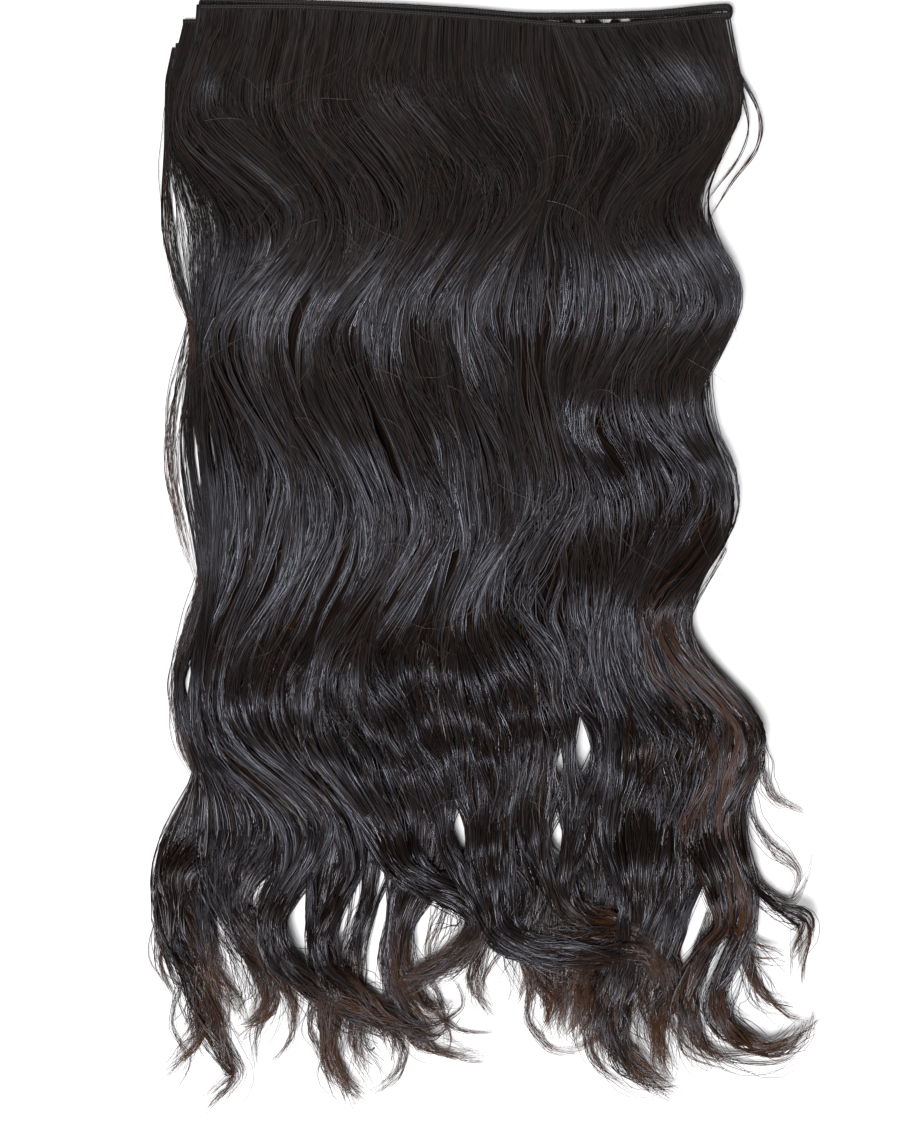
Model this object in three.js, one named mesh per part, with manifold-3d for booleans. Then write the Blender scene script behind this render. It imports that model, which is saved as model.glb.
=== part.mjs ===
// A wavy hair weft lying flat. Two sewn tracks, each folded once at the right, lie over one another, so that
// four runs of track carry four layers of hair. X runs along the track, +Y from the tips to the roots, +Z up.
// The origin is on the surface it rests on, under the bottom run of the lower track.
import * as THREE from "three";
import { mergeVertices } from "three/addons/utils/BufferGeometryUtils.js";
import Module from "manifold-3d";

const wasm = await Module();
wasm.setup();

// The charts below are counted in steps: columns from left to right and rows from the roots to the tips.
const chart = { step: 0.45, zeroColumn: 470, zeroRow: 42 };
const track = { height: 3.4, thick: 1.5, edge: 0.55, flat: 0.6, rootGap: 0.3 };
const hair = { gap: 0.5, ridge: 0.8, valley: 1.2, edgeThick: 0.4, notch: 46 };
const swell = { rise: 1.6, length: 205, row: 300, slant: 2 };
const hairLook = { color: 0x17110f, roughness: 0.42, metalness: 0 };
const trackLook = { color: 0x1d1512, roughness: 0.7, metalness: 0 };

const toX = (column) => (column - chart.zeroColumn) * chart.step;
const toY = (row) => (chart.zeroRow - row) * chart.step;
const { lerp, smoothstep } = THREE.MathUtils;

// The runs of track: lean in degrees from flat, height of the middle line, and the line's columns and rows.
const runs = {
  front: {
    lean: 25, z: 9.75,
    line: [
      { column: 199, row: 7 }, { column: 300, row: 7 }, { column: 400, row: 12 }, { column: 500, row: 19 },
      { column: 590, row: 26 }, { column: 660, row: 21 }, { column: 727, row: 15 },
    ],
  },
  second: {
    lean: 25, z: 7.15,
    line: [
      { column: 199, row: -2 }, { column: 290, row: 1 }, { column: 400, row: 5 }, { column: 465, row: 9 },
      { column: 530, row: 14 }, { column: 650, row: 12 }, { column: 727, row: 5 },
    ],
  },
  third: {
    lean: 0, z: 3.75,
    line: [
      { column: 181, row: 19 }, { column: 430, row: 25 }, { column: 600, row: 34 }, { column: 712, row: 40 },
    ],
  },
  bottom: {
    lean: 0, z: 0.75,
    line: [{ column: 173, row: 42 }, { column: 712, row: 42 }],
  },
};

// The hair layers, counted from the surface up: first and last lock on the wave charts, and how finely the
// locks and the rows between them are divided.
const layers = {
  bottom_hair: { run: "bottom", level: 0, first: -1, last: 11.4, fine: 1 },
  third_hair: { run: "third", level: 1, first: -0.7, last: 11.4, fine: 1 },
  second_hair: { run: "second", level: 2, first: 0, last: 11.7, fine: 1 },
  front_hair: { run: "front", level: 3, first: 0, last: 12, fine: 2 },
};

// Height of the four layers together at rows down the hair, how far the sides thin there, and the number of
// sections up to the next row.
const pile = [
  { row: -20, height: 9.2, thinning: 0, sections: 1 },
  { row: 62, height: 12.4, thinning: 0, sections: 2 },
  { row: 180, height: 17.5, thinning: 0.6, sections: 2 },
  { row: 300, height: 20, thinning: 1, sections: 5 },
  { row: 600, height: 19, thinning: 1, sections: 4 },
  { row: 820, height: 14.5, thinning: 0, sections: 1 },
  { row: 1130, height: 7, thinning: 0, sections: 0 },
];

// Share of the height that is left at the sides, by lock of the wave charts.
const sides = [
  { lock: -1, share: 0.35 }, { lock: 0, share: 0.85 }, { lock: 2, share: 1 }, { lock: 10, share: 1 },
  { lock: 12, share: 0.85 },
];

// Rows at which the locks of a curtain end, by lock from the left edge to the right edge.
const ends = [860, 884, 866, 898, 880, 904, 876, 900, 868, 898, 874, 902, 884, 866];

// Rows at which the left and middle locks turn, for lock 0, lock 4 and lock 8.
const leftTurns = [
  { left: 112, middle: 94, right: 45 }, { left: 228, middle: 226, right: 152 },
  { left: 350, middle: 350, right: 300 }, { left: 492, middle: 535, right: 487 },
  { left: 716, middle: 697, right: 602 }, { left: 870, middle: 892, right: 740 },
  { left: 945, middle: 960, right: 850 },
];

// Columns of the left and middle locks at the root and at those turns. Lock -1 is the thin left edge.
const leftLocks = [
  { lock: -1, root: 174, turns: [164, 165, 188, 184, 172, 178, 172] },
  { lock: 0, root: 200, turns: [176, 266, 202, 228, 199, 300, 270] },
  { lock: 1, root: 235, turns: [207, 298, 235, 287, 228, 338, 295] },
  { lock: 2, root: 270, turns: [255, 322, 268, 322, 262, 362, 320] },
  { lock: 3, root: 305, turns: [292, 345, 297, 362, 296, 386, 345] },
  { lock: 4, root: 340, turns: [326, 400, 329, 400, 324, 412, 372] },
  { lock: 5, root: 385, turns: [367, 430, 370, 427, 368, 436, 408] },
  { lock: 6, root: 440, turns: [438, 500, 425, 470, 432, 466, 448] },
  { lock: 7, root: 490, turns: [488, 542, 464, 512, 468, 504, 484] },
  { lock: 8, root: 540, turns: [540, 556, 520, 546, 494, 546, 530] },
];

// Rows at which the right locks turn, for lock 9 and lock 12.
const rightTurns = [
  { left: 135, right: 100 }, { left: 235, right: 210 }, { left: 302, right: 305 }, { left: 412, right: 388 },
  { left: 516, right: 508 }, { left: 616, right: 628 }, { left: 736, right: 748 }, { left: 836, right: 850 },
  { left: 935, right: 945 },
];

// Columns of the right locks at the root and at those turns. Lock 12 is the right edge.
const rightLocks = [
  { lock: 9, root: 575, turns: [628, 583, 602, 557, 614, 574, 605, 588, 600] },
  { lock: 10, root: 640, turns: [704, 606, 666, 586, 666, 594, 648, 626, 645] },
  { lock: 11, root: 690, turns: [726, 662, 718, 658, 714, 648, 726, 696, 730] },
  { lock: 12, root: 730, turns: [744, 707, 743, 714, 740, 690, 765, 742, 785] },
];

// Loose ends. Each lock leaves its layer at the start, bends, turns and stops at the tip.
const tips = [
  { layer: "front_hair", half: 11, start: [484, 825], bend: [500, 912], turn: [560, 944], tip: [644, 940] },
  { layer: "front_hair", half: 8, start: [548, 825], bend: [566, 896], turn: [604, 918], tip: [654, 928] },
  { layer: "front_hair", half: 7, start: [415, 830], bend: [468, 905], turn: [444, 952], tip: [395, 975] },
  { layer: "front_hair", half: 9, start: [358, 825], bend: [322, 935], turn: [362, 1010], tip: [372, 1100] },
  { layer: "front_hair", half: 8, start: [318, 825], bend: [274, 932], turn: [340, 995], tip: [400, 1068] },
  { layer: "front_hair", half: 9, start: [640, 825], bend: [626, 1000], turn: [640, 1068], tip: [686, 1093] },
  { layer: "front_hair", half: 8, start: [692, 825], bend: [690, 975], turn: [702, 1032], tip: [745, 1057] },
  { layer: "front_hair", half: 9, start: [728, 825], bend: [722, 990], turn: [760, 1046], tip: [815, 1018] },
  { layer: "front_hair", half: 5, start: [742, 825], bend: [750, 876], turn: [768, 899], tip: [798, 915] },
  { layer: "second_hair", half: 8, start: [345, 825], bend: [330, 980], turn: [334, 1045], tip: [355, 1105] },
  { layer: "second_hair", half: 8, start: [436, 825], bend: [404, 975], turn: [428, 1032], tip: [462, 1010] },
  { layer: "second_hair", half: 10, start: [545, 825], bend: [540, 960], turn: [556, 1008], tip: [548, 1050] },
  { layer: "second_hair", half: 10, start: [590, 825], bend: [588, 955], turn: [576, 1012], tip: [572, 1053] },
  { layer: "third_hair", half: 8, start: [240, 825], bend: [236, 915], turn: [262, 990], tip: [230, 1040] },
  { layer: "third_hair", half: 8, start: [285, 825], bend: [258, 912], turn: [282, 985], tip: [290, 1044] },
  { layer: "third_hair", half: 8, start: [512, 825], bend: [524, 935], turn: [530, 980], tip: [523, 1018] },
  { layer: "third_hair", half: 10, start: [616, 825], bend: [614, 955], turn: [606, 1018], tip: [615, 1078] },
  { layer: "third_hair", half: 9, start: [668, 825], bend: [662, 950], turn: [656, 1006], tip: [675, 1088] },
  { layer: "bottom_hair", half: 9, start: [190, 825], bend: [176, 925], turn: [200, 1018], tip: [237, 1082] },
  { layer: "bottom_hair", half: 6, start: [214, 825], bend: [210, 970], turn: [192, 1032], tip: [160, 1075] },
  { layer: "bottom_hair", half: 8, start: [408, 825], bend: [396, 985], turn: [424, 1040], tip: [470, 1057] },
  { layer: "bottom_hair", half: 8, start: [706, 825], bend: [736, 925], turn: [754, 990], tip: [768, 1032] },
];

// Smooth value of a table at a place: flat at each row of the table, so that every row is a turn.
function turning(places, values, place) {
  const end = places.length - 1;
  if (place <= places[0]) {
    return values[0];
  }
  if (place >= places[end]) {
    return values[end];
  }
  const next = places.findIndex((each) => each > place);
  const share = (place - places[next - 1]) / (places[next] - places[next - 1]);
  return lerp(values[next - 1], values[next], (1 - Math.cos(Math.PI * share)) / 2);
}

// Straight-line value of a table at a place.
function straight(places, values, place) {
  const end = places.length - 1;
  const next = Math.min(Math.max(places.findIndex((each) => each > place), 1), end);
  const from = place >= places[end] ? end : next;
  const share = (place - places[from - 1]) / (places[from] - places[from - 1]);
  return lerp(values[from - 1], values[from], Math.min(Math.max(share, 0), 1));
}

// Row of a run's middle line at a column, as a curve through its points.
function runRow(run, column) {
  const line = runs[run].line;
  const last = line.length - 1;
  let piece = 0;
  while (piece < last - 1 && column > line[piece + 1].column) {
    piece += 1;
  }
  const rowAt = (index) => line[Math.min(Math.max(index, 0), last)].row;
  const share = (column - line[piece].column) / (line[piece + 1].column - line[piece].column);
  const t = Math.min(Math.max(share, 0), 1);
  const a = rowAt(piece - 1);
  const b = rowAt(piece);
  const c = rowAt(piece + 1);
  const d = rowAt(piece + 2);
  return b + 0.5 * t * (c - a + t * (2 * a - 5 * b + 4 * c - d + t * (3 * (b - c) + d - a)));
}

const leanOf = (run) => new THREE.Vector3(
  0,
  Math.cos(THREE.MathUtils.degToRad(runs[run].lean)),
  Math.sin(THREE.MathUtils.degToRad(runs[run].lean)),
);

// Column of one charted lock at a row. The root row is that of the front run.
function lockColumn(lock, row) {
  const left = leftLocks.find((each) => each.lock === lock);
  const chosen = left ?? rightLocks.find((each) => each.lock === lock);
  const place = left ? Math.max(lock, 0) / 8 : (lock - 9) / 3;
  const turnRow = (turn) => (left
    ? straight([0, 0.5, 1], [turn.left, turn.middle, turn.right], place)
    : lerp(turn.left, turn.right, place));
  const rows = (left ? leftTurns : rightTurns).map(turnRow);
  return turning([10, ...rows], [chosen.root, ...chosen.turns], row);
}

// Column of any place between two charted locks.
function flowColumn(lock, row) {
  const lower = Math.min(Math.floor(lock), 11);
  return lerp(lockColumn(lower, row), lockColumn(lower + 1, row), lock - lower);
}

// Height of the pile at a lock and row.
function pileHeight(lock, row) {
  const rows = pile.map((each) => each.row);
  const height = straight(rows, pile.map((each) => each.height), row);
  const thinning = straight(rows, pile.map((each) => each.thinning), row);
  const share = straight(sides.map((each) => each.lock), sides.map((each) => each.share), lock);
  return height * lerp(1, share, thinning);
}

// Rise of the top of the pile: swells across the hair, and ridges along the locks with valleys between them,
// lower where the locks crowd together.
function topRise(lock, row, valley) {
  const body = smoothstep(row, 60, 170) * (1 - smoothstep(row, 760, 860));
  const wave = Math.cos(2 * Math.PI * (row - swell.row + swell.slant * lock) / swell.length);
  const room = flowColumn(Math.min(lock + 0.5, 12), row) - flowColumn(Math.max(lock - 0.5, 0), row);
  const depth = (valley ? -hair.valley : hair.ridge) * smoothstep(room, 8, 40);
  return body * (swell.rise * wave + depth);
}

// Lower and upper height of a layer at a lock and row.
function layerSpan(level, lock, row) {
  const height = pileHeight(lock, row);
  return {
    low: level === 0 ? 0 : height * level / 4 + hair.gap / 2,
    high: height * (level + 1) / 4 - hair.gap / 2,
  };
}

function closed(geometry) {
  geometry.deleteAttribute("normal");
  geometry.deleteAttribute("uv");
  return mergeVertices(geometry, 1e-4);
}

function toSolid(geometry) {
  return new wasm.Manifold(new wasm.Mesh({
    numProp: 3,
    vertProperties: Float32Array.from(geometry.attributes.position.array),
    triVerts: Uint32Array.from(geometry.index.array),
  }));
}

function toGeometry(solid) {
  const mesh = solid.getMesh();
  const geometry = new THREE.BufferGeometry();
  geometry.setAttribute("position", new THREE.BufferAttribute(Float32Array.from(mesh.vertProperties), 3));
  geometry.setIndex(new THREE.BufferAttribute(Uint32Array.from(mesh.triVerts), 1));
  return geometry;
}

// A folded track: along the upper run, round a fold at the right and back along the lower run.
function foldedTrack(upper, lower, foldOut, pieces) {
  const points = [];
  const columnsOf = (run) => {
    const line = runs[run].line;
    const from = line[0].column;
    const to = line[line.length - 1].column;
    return Array.from({ length: pieces + 1 }, (_, index) => lerp(from, to, index / pieces));
  };
  const pointOf = (run, column) => new THREE.Vector3(toX(column), toY(runRow(run, column)), runs[run].z);
  columnsOf(upper).forEach((column) => points.push(pointOf(upper, column)));
  const turnFrom = points[points.length - 1];
  const back = columnsOf(lower).reverse().map((column) => pointOf(lower, column));
  [0.2, 0.5, 0.8].forEach((share) => {
    const point = turnFrom.clone().lerp(back[0], (1 - Math.cos(Math.PI * share)) / 2);
    point.x += foldOut * Math.sin(Math.PI * share);
    points.push(point);
  });
  points.push(...back);
  const count = points.length - 1;
  const geometry = new THREE.BoxGeometry(1, 1, 1, count, 3, 1);
  const spots = geometry.attributes.position;
  const across = [-1, -track.flat, track.flat, 1];
  for (let index = 0; index < spots.count; index += 1) {
    const step = Math.round((spots.getX(index) + 0.5) * count);
    const line = Math.round((spots.getY(index) + 0.5) * 3);
    const before = points[Math.max(step - 1, 0)];
    const after = points[Math.min(step + 1, count)];
    const ahead = after.clone().sub(before).normalize();
    const up = leanOf(upper).addScaledVector(ahead, -leanOf(upper).dot(ahead)).normalize();
    const face = ahead.clone().cross(up);
    const thick = (line === 0 || line === 3) ? track.thick * track.edge : track.thick;
    const spot = points[step].clone().addScaledVector(up, across[line] * track.height / 2);
    spot.addScaledVector(face, spots.getZ(index) * thick);
    spots.setXYZ(index, spot.x, spot.y, spot.z);
  }
  return closed(geometry);
}

// Places across a layer: its first lock, the charted locks between, divided, and its last lock.
function locksOf({ first, last, fine }) {
  const inner = [];
  for (let lock = Math.floor(first) + 1 / fine; lock < last; lock += 1 / fine) {
    if (lock > first) {
      inner.push(lock);
    }
  }
  return [first, ...inner, last];
}

// Rows down a layer, from the first one below the roots to the one where the ends begin.
function rowsOf({ fine }) {
  const rows = [];
  pile.slice(1, -2).forEach((part, index) => {
    const count = part.sections * fine;
    for (let step = 0; step < count; step += 1) {
      rows.push(lerp(part.row, pile[index + 2].row, step / count));
    }
  });
  return [...rows, pile[pile.length - 2].row];
}

// One layer of hair: a curtain that follows the wave charts, with ridges along its locks and a ragged end.
function curtain(layer) {
  const { run, level, fine } = layers[layer];
  const locks = locksOf(layers[layer]);
  const rows = rowsOf(layers[layer]);
  const columns = locks.length - 1;
  const sections = rows.length + 1;
  const geometry = new THREE.BoxGeometry(1, 1, 1, columns, sections, 1);
  const spots = geometry.attributes.position;
  const lean = leanOf(run);
  const toRoot = (track.height * lean.y + track.thick * track.edge * lean.z) / 2 + track.rootGap;
  for (let index = 0; index < spots.count; index += 1) {
    const column = Math.round((spots.getX(index) + 0.5) * columns);
    const section = Math.round((0.5 - spots.getY(index)) * sections);
    const lock = locks[column];
    const valley = lock % 1 !== 0;
    const endRow = ends[Math.round(lock) + 1] - (valley ? hair.notch : 0);
    let row = section === sections ? endRow : rows[section - 1];
    if (section === 0) {
      row = chart.zeroRow - (toY(runRow(run, flowColumn(lock, 10))) - toRoot) / chart.step;
    }
    const place = section === 0 ? flowColumn(lock, 10) : flowColumn(lock, row);
    const span = layerSpan(level, lock, row);
    const side = column === 0 || column === columns;
    const middle = level === 0 ? 0 : (span.low + span.high) / 2;
    const squeeze = side ? hair.edgeThick : 1;
    const low = lerp(middle, span.low, squeeze);
    const high = lerp(middle, span.high, squeeze) + (fine > 1 && !side ? topRise(lock, row, valley) : 0);
    spots.setXYZ(index, toX(place), toY(row), spots.getZ(index) > 0 ? high : low);
  }
  return toSolid(closed(geometry));
}

// A loose end: a flattened taper along a curve, held between the heights of its own layer.
function looseEnd({ layer, half, start, bend, turn, tip }) {
  const level = layers[layer].level;
  const sections = 8;
  const path = new THREE.CatmullRomCurve3(
    [start, bend, turn, tip].map(([column, row]) => new THREE.Vector3(toX(column), toY(row), 0)),
  );
  const geometry = new THREE.CylinderGeometry(1, 1, 1, 6, sections);
  const spots = geometry.attributes.position;
  for (let index = 0; index < spots.count; index += 1) {
    const share = 0.5 - spots.getY(index);
    const middle = path.getPointAt(share);
    const ahead = path.getTangentAt(share);
    const taper = lerp(0.5, 1, smoothstep(share, 0, 0.3)) * lerp(1, 0.08, smoothstep(share, 0.45, 1));
    const out = spots.getX(index) * half * taper;
    const x = middle.x - ahead.y * out;
    const y = middle.y + ahead.x * out;
    const span = layerSpan(level, 6, chart.zeroRow - y / chart.step);
    const rise = (span.high - span.low) / 2 * lerp(0.98, 0.5, smoothstep(share, 0.4, 1));
    const z = level === 0 ? span.low + rise : (span.high + span.low) / 2;
    spots.setXYZ(index, x, y, z + spots.getZ(index) * rise);
  }
  return toSolid(closed(geometry));
}

function piece(name, geometry, look) {
  const mesh = new THREE.Mesh(geometry, new THREE.MeshStandardMaterial(look));
  mesh.name = name;
  return mesh;
}

const weft = new THREE.Group();
weft.name = "hair_weft";
weft.add(piece("upper_track", foldedTrack("front", "second", 2.1, 26), trackLook));
weft.add(piece("lower_track", foldedTrack("third", "bottom", 1.6, 14), trackLook));
Object.keys(layers).forEach((layer) => {
  const ends = tips.filter((each) => each.layer === layer).map(looseEnd);
  const body = ends.reduce((sum, end) => sum.add(end), curtain(layer));
  weft.add(piece(layer, toGeometry(body), hairLook));
});

export default weft;
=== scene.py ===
import math
from types import SimpleNamespace

import bpy
import numpy as np
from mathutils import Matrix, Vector


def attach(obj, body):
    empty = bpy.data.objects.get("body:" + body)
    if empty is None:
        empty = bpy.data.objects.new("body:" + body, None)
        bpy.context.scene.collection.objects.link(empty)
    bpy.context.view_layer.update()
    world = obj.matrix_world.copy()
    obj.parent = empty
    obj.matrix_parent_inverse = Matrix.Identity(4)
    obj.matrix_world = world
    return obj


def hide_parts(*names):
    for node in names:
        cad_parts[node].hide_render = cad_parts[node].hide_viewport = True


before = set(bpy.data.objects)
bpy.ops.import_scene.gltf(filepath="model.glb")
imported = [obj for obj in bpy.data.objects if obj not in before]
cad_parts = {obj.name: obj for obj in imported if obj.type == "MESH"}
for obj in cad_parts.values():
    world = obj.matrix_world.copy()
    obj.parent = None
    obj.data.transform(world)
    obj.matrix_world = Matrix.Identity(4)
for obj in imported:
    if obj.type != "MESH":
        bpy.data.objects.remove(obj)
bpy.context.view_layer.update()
print("frame loaded:", sorted(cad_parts))

# the weft's chart: columns to the right, rows from the roots to the tips, locks counted from the left
chart = {
    "step": 0.00045,              # metres between columns and between rows
    "zeroColumn": 470,            # where x is 0
    "zeroRow": 42,                # where y is 0
    "rootRow": 10.0,              # where the waves begin
    "endRow": 825.0,              # where the curtain parts into loose ends
    "rows": (-20.0, 1142.0, 2.0),
    "lockWidth": 45,              # columns
}
mm = 0.001
rowGrid = np.arange(*chart["rows"])
chartedLocks = range(-1, 13)      # 0 to 8 wave together, and so do 9 to 12; -1 is the left edge


def toX(column):
    return (column - chart["zeroColumn"]) * chart["step"]


def toY(row):
    return (chart["zeroRow"] - row) * chart["step"]


def smoothStep(value, low, high):
    share = np.clip((value - low) / (high - low), 0, 1)
    return share * share * (3 - 2 * share)


def mix(a, b, share):
    return a + (b - a) * share


def turning(places, values, place):
    # smooth from turn to turn, and flat at each of them
    places = np.asarray(places, float)
    values = np.asarray(values, float)
    spot = np.clip(place, places[0], places[-1])
    piece = np.clip(np.searchsorted(places, spot, side="right") - 1, 0, len(places) - 2)
    share = (spot - places[piece]) / (places[piece + 1] - places[piece])
    return mix(values[piece], values[piece + 1], (1 - np.cos(np.pi * share)) / 2)


def between(a, b, c, d, share):
    # smooth from b to c, with a before them and d after them
    return b + 0.5 * share * (c - a + share * (2 * a - 5 * b + 4 * c - d + share * (3 * (b - c) + d - a)))


def runLength(spots):
    # length of the way to each spot
    return np.concatenate([[0], np.cumsum(np.linalg.norm(np.diff(spots, axis=0), axis=1))])


def readAt(place, run, values):
    return np.stack([np.interp(place, run, values[:, k]) for k in range(values.shape[1])], axis=-1)


# how the hair waves
waves = {
    # rows at which the left locks turn, at lock 0, lock 4 and lock 8
    "leftRows": [
        (112, 94, 45), (228, 226, 152), (350, 350, 300), (492, 535, 487), (716, 697, 602), (870, 892, 740),
        (945, 960, 850),
    ],
    # columns of each lock at the root and at those turns
    "leftLocks": {
        -1: (174, 164, 165, 188, 184, 172, 178, 172),
        0: (200, 176, 266, 202, 228, 199, 300, 270),
        1: (235, 207, 298, 235, 287, 228, 338, 295),
        2: (270, 255, 322, 268, 322, 262, 362, 320),
        3: (305, 292, 345, 297, 362, 296, 386, 345),
        4: (340, 326, 400, 329, 400, 324, 412, 372),
        5: (385, 367, 430, 370, 427, 368, 436, 408),
        6: (440, 438, 500, 425, 470, 432, 466, 448),
        7: (490, 488, 542, 464, 512, 468, 504, 484),
        8: (540, 540, 556, 520, 546, 494, 546, 530),
    },
    # row and column of the outermost hair at the left
    "leftEdge": [
        (10, 176), (45, 170), (80, 163), (130, 162), (210, 160), (335, 188), (440, 178), (590, 197),
        (690, 172), (785, 193), (870, 174), (960, 174),
    ],
    # rows at which the right locks turn, at lock 9 and lock 12, and their columns
    "rightRows": [
        (135, 100), (235, 210), (302, 305), (412, 388), (516, 508), (616, 628), (736, 748), (836, 850),
        (935, 945),
    ],
    "rightLocks": {
        9: (575, 628, 583, 602, 557, 614, 574, 605, 588, 600),
        10: (640, 704, 606, 666, 586, 666, 594, 648, 626, 645),
        11: (690, 726, 662, 718, 658, 714, 648, 726, 696, 730),
        12: (730, 744, 707, 743, 714, 740, 690, 765, 742, 785),
    },
}

# rows at which the hair lies low and high in turn, across the locks as above, and the heights there in mm
swells = {
    "leftRows": [
        (60, 60, 60), (128, 128, 120), (232, 236, 258), (345, 350, 352), (468, 470, 500), (588, 592, 625),
        (688, 688, 678), (746, 742, 720), (776, 776, 743), (836, 836, 800), (900, 900, 862), (975, 975, 940),
        (1060, 1060, 1050),
    ],
    "leftHeights": (0, -0.6, 3.3, -2.9, 2.1, -2.8, 2.4, -2.4, 0.6, -2.4, 2.0, -1.6, 1.0),
    "rightRows": [
        (60, 60), (128, 122), (256, 252), (348, 342), (406, 408), (448, 446), (474, 475), (530, 525),
        (622, 606), (692, 684), (752, 748), (820, 815), (890, 890), (965, 965), (1060, 1060),
    ],
    "rightHeights": (0, -0.8, 3.4, -2.6, 0.4, -2.2, 0.2, -2.6, 2.6, -2.4, 2.0, -2.4, 2.0, -1.6, 1.0),
}


def placeOf(lock):
    # the side of the chart that a lock is on, and how far across that side
    if lock <= 8:
        return "left", max(lock, 0) / 8
    return "right", (lock - 9) / 3


def rowsAt(turns, place):
    return [np.interp(place, np.linspace(0, 1, len(turn)), turn) for turn in turns]


def flowTableOf():
    table = []
    for lock in chartedLocks:
        side, place = placeOf(lock)
        rows = [chart["rootRow"], *rowsAt(waves[side + "Rows"], place)]
        table.append(turning(rows, waves[side + "Locks"][lock], rowGrid))
    table[0] = turning(*zip(*waves["leftEdge"]), rowGrid)
    return np.array(table)


def calmTableOf(span=115):
    # the same locks with their waves evened out
    wide = np.pad(flowTable, ((0, 0), (span // 2, span // 2)), mode="edge")
    even = np.ones(span) / span
    return np.array([np.convolve(line, even, mode="valid")[:len(rowGrid)] for line in wide])


def swellTableOf():
    table = []
    for lock in chartedLocks:
        side, place = placeOf(lock)
        table.append(turning(rowsAt(swells[side + "Rows"], place), swells[side + "Heights"], rowGrid))
    return np.array(table)


flowTable = flowTableOf()
calmTable = calmTableOf()
swellTable = swellTableOf()


def lookUp(table, lock, row):
    # value at any place between the charted locks and rows
    lock = np.asarray(lock, float) - chartedLocks[0]
    at = np.clip((row - rowGrid[0]) / chart["rows"][2], 0, len(rowGrid) - 1.001)
    left = np.clip(np.floor(lock).astype(int), 0, len(table) - 2)
    top = at.astype(int)
    down = at - top
    atLeft = mix(table[left, top], table[left, top + 1], down)
    atRight = mix(table[left + 1, top], table[left + 1, top + 1], down)
    return mix(atLeft, atRight, lock - left)


def flowColumn(lock, row, calm=0.0):
    # calm evens the waves out, except at the two edges
    lock = np.asarray(lock, float)
    evened = calm * smoothStep(lock, -1, 0) * (1 - smoothStep(lock, 9.8, 11.6))
    return mix(lookUp(flowTable, lock, row), lookUp(calmTable, lock, row), evened)


# rises that catch the light on single locks: lock, half width in locks, brightest row and height in mm
glints = [
    (1.0, 0.45, 92, 3.4), (2.3, 0.35, 96, 3.2), (6.0, 0.35, 178, 1.9), (10.2, 1.1, 74, 2.6),
    (4.4, 0.3, 140, 2.1), (0.7, 0.4, 58, 2.2), (3.6, 0.3, 110, 2.2), (5.3, 0.35, 98, 2.2),
    (8.8, 0.4, 120, 2.2), (7.4, 0.3, 84, 2.2), (2.0, 0.35, 190, 1.7), (8.6, 0.4, 192, 1.6),
    (4.9, 0.3, 206, 1.6), (0.9, 0.3, 170, 1.7), (7.2, 0.3, 160, 1.7), (1.6, 0.4, 300, 1.6),
    (3.2, 0.35, 318, 1.8), (5.2, 0.3, 262, 1.4), (7.4, 0.4, 268, 1.4), (10.4, 0.7, 278, 1.4),
    (3.6, 0.4, 470, 1.4), (6.6, 0.5, 560, 1.8), (5.4, 0.35, 610, 1.6), (2.4, 0.4, 590, 1.6),
    (8.0, 0.4, 655, 1.6), (9.6, 0.5, 422, 1.5), (10.6, 0.6, 545, 1.7), (9.4, 0.5, 572, 1.7),
    (11.2, 0.4, 480, 1.4), (8.6, 0.4, 522, 1.6), (9.0, 0.4, 596, 1.7), (7.6, 0.4, 575, 1.8),
    (6.8, 0.6, 604, 2.0), (10.0, 0.5, 372, 1.4), (6.2, 0.9, 690, 1.8), (1.6, 0.7, 720, 1.8),
    (6.4, 0.8, 772, 1.8), (10.5, 0.6, 700, 1.4),
]


def glintHeight(lock, row, long=18):
    total = 0
    for middle, half, brightest, height in glints:
        away = ((lock - middle) / half) ** 2
        total = total + height * np.exp(-away - ((row - brightest + long) / long) ** 2)
    return total


# how high the four layers lie together, in mm, and how much less at the sides
pile = {
    "rows": (-20, 62, 180, 300, 600, 820, 1130),
    "heights": (9.2, 12.4, 17.5, 20, 19, 14.5, 7),
    "thinning": (0, 0, 0.6, 1, 1, 0, 0),
    "sideLocks": (-1, 0, 2, 10, 12),
    "sideShares": (0.35, 0.85, 1, 1, 0.85),
    "layers": 4,
}


def pileHeight(lock, row):
    height = np.interp(row, pile["rows"], pile["heights"])
    thinning = np.interp(row, pile["rows"], pile["thinning"])
    share = np.interp(lock, pile["sideLocks"], pile["sideShares"])
    return height * mix(1, share, thinning)


# the runs of track: lean in degrees, height of the middle in mm, and column and row of points along it
runs = {
    "front": {"lean": 25, "z": 9.75, "line": [
        (199, 7), (300, 7), (400, 12), (500, 19), (590, 26), (660, 21), (727, 15),
    ]},
    "second": {"lean": 25, "z": 7.15, "line": [
        (199, -2), (290, 1), (400, 5), (465, 9), (530, 14), (650, 12), (727, 5),
    ]},
    "third": {"lean": 0, "z": 3.75, "line": [(181, 19), (430, 25), (600, 34), (712, 40)]},
    "bottom": {"lean": 0, "z": 0.75, "line": [(173, 42), (712, 42)]},
}


def runRow(run, column):
    # row of a run of track at a column
    line = np.array(runs[run]["line"], float)
    last = len(line) - 1
    piece = np.clip(np.searchsorted(line[:, 0], column, side="right") - 1, 0, last - 1)
    share = np.clip((column - line[piece, 0]) / (line[piece + 1, 0] - line[piece, 0]), 0, 1)
    before = line[np.maximum(piece - 1, 0), 1]
    after = line[np.minimum(piece + 2, last), 1]
    return between(before, line[piece, 1], line[piece + 1, 1], after, share)


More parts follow.
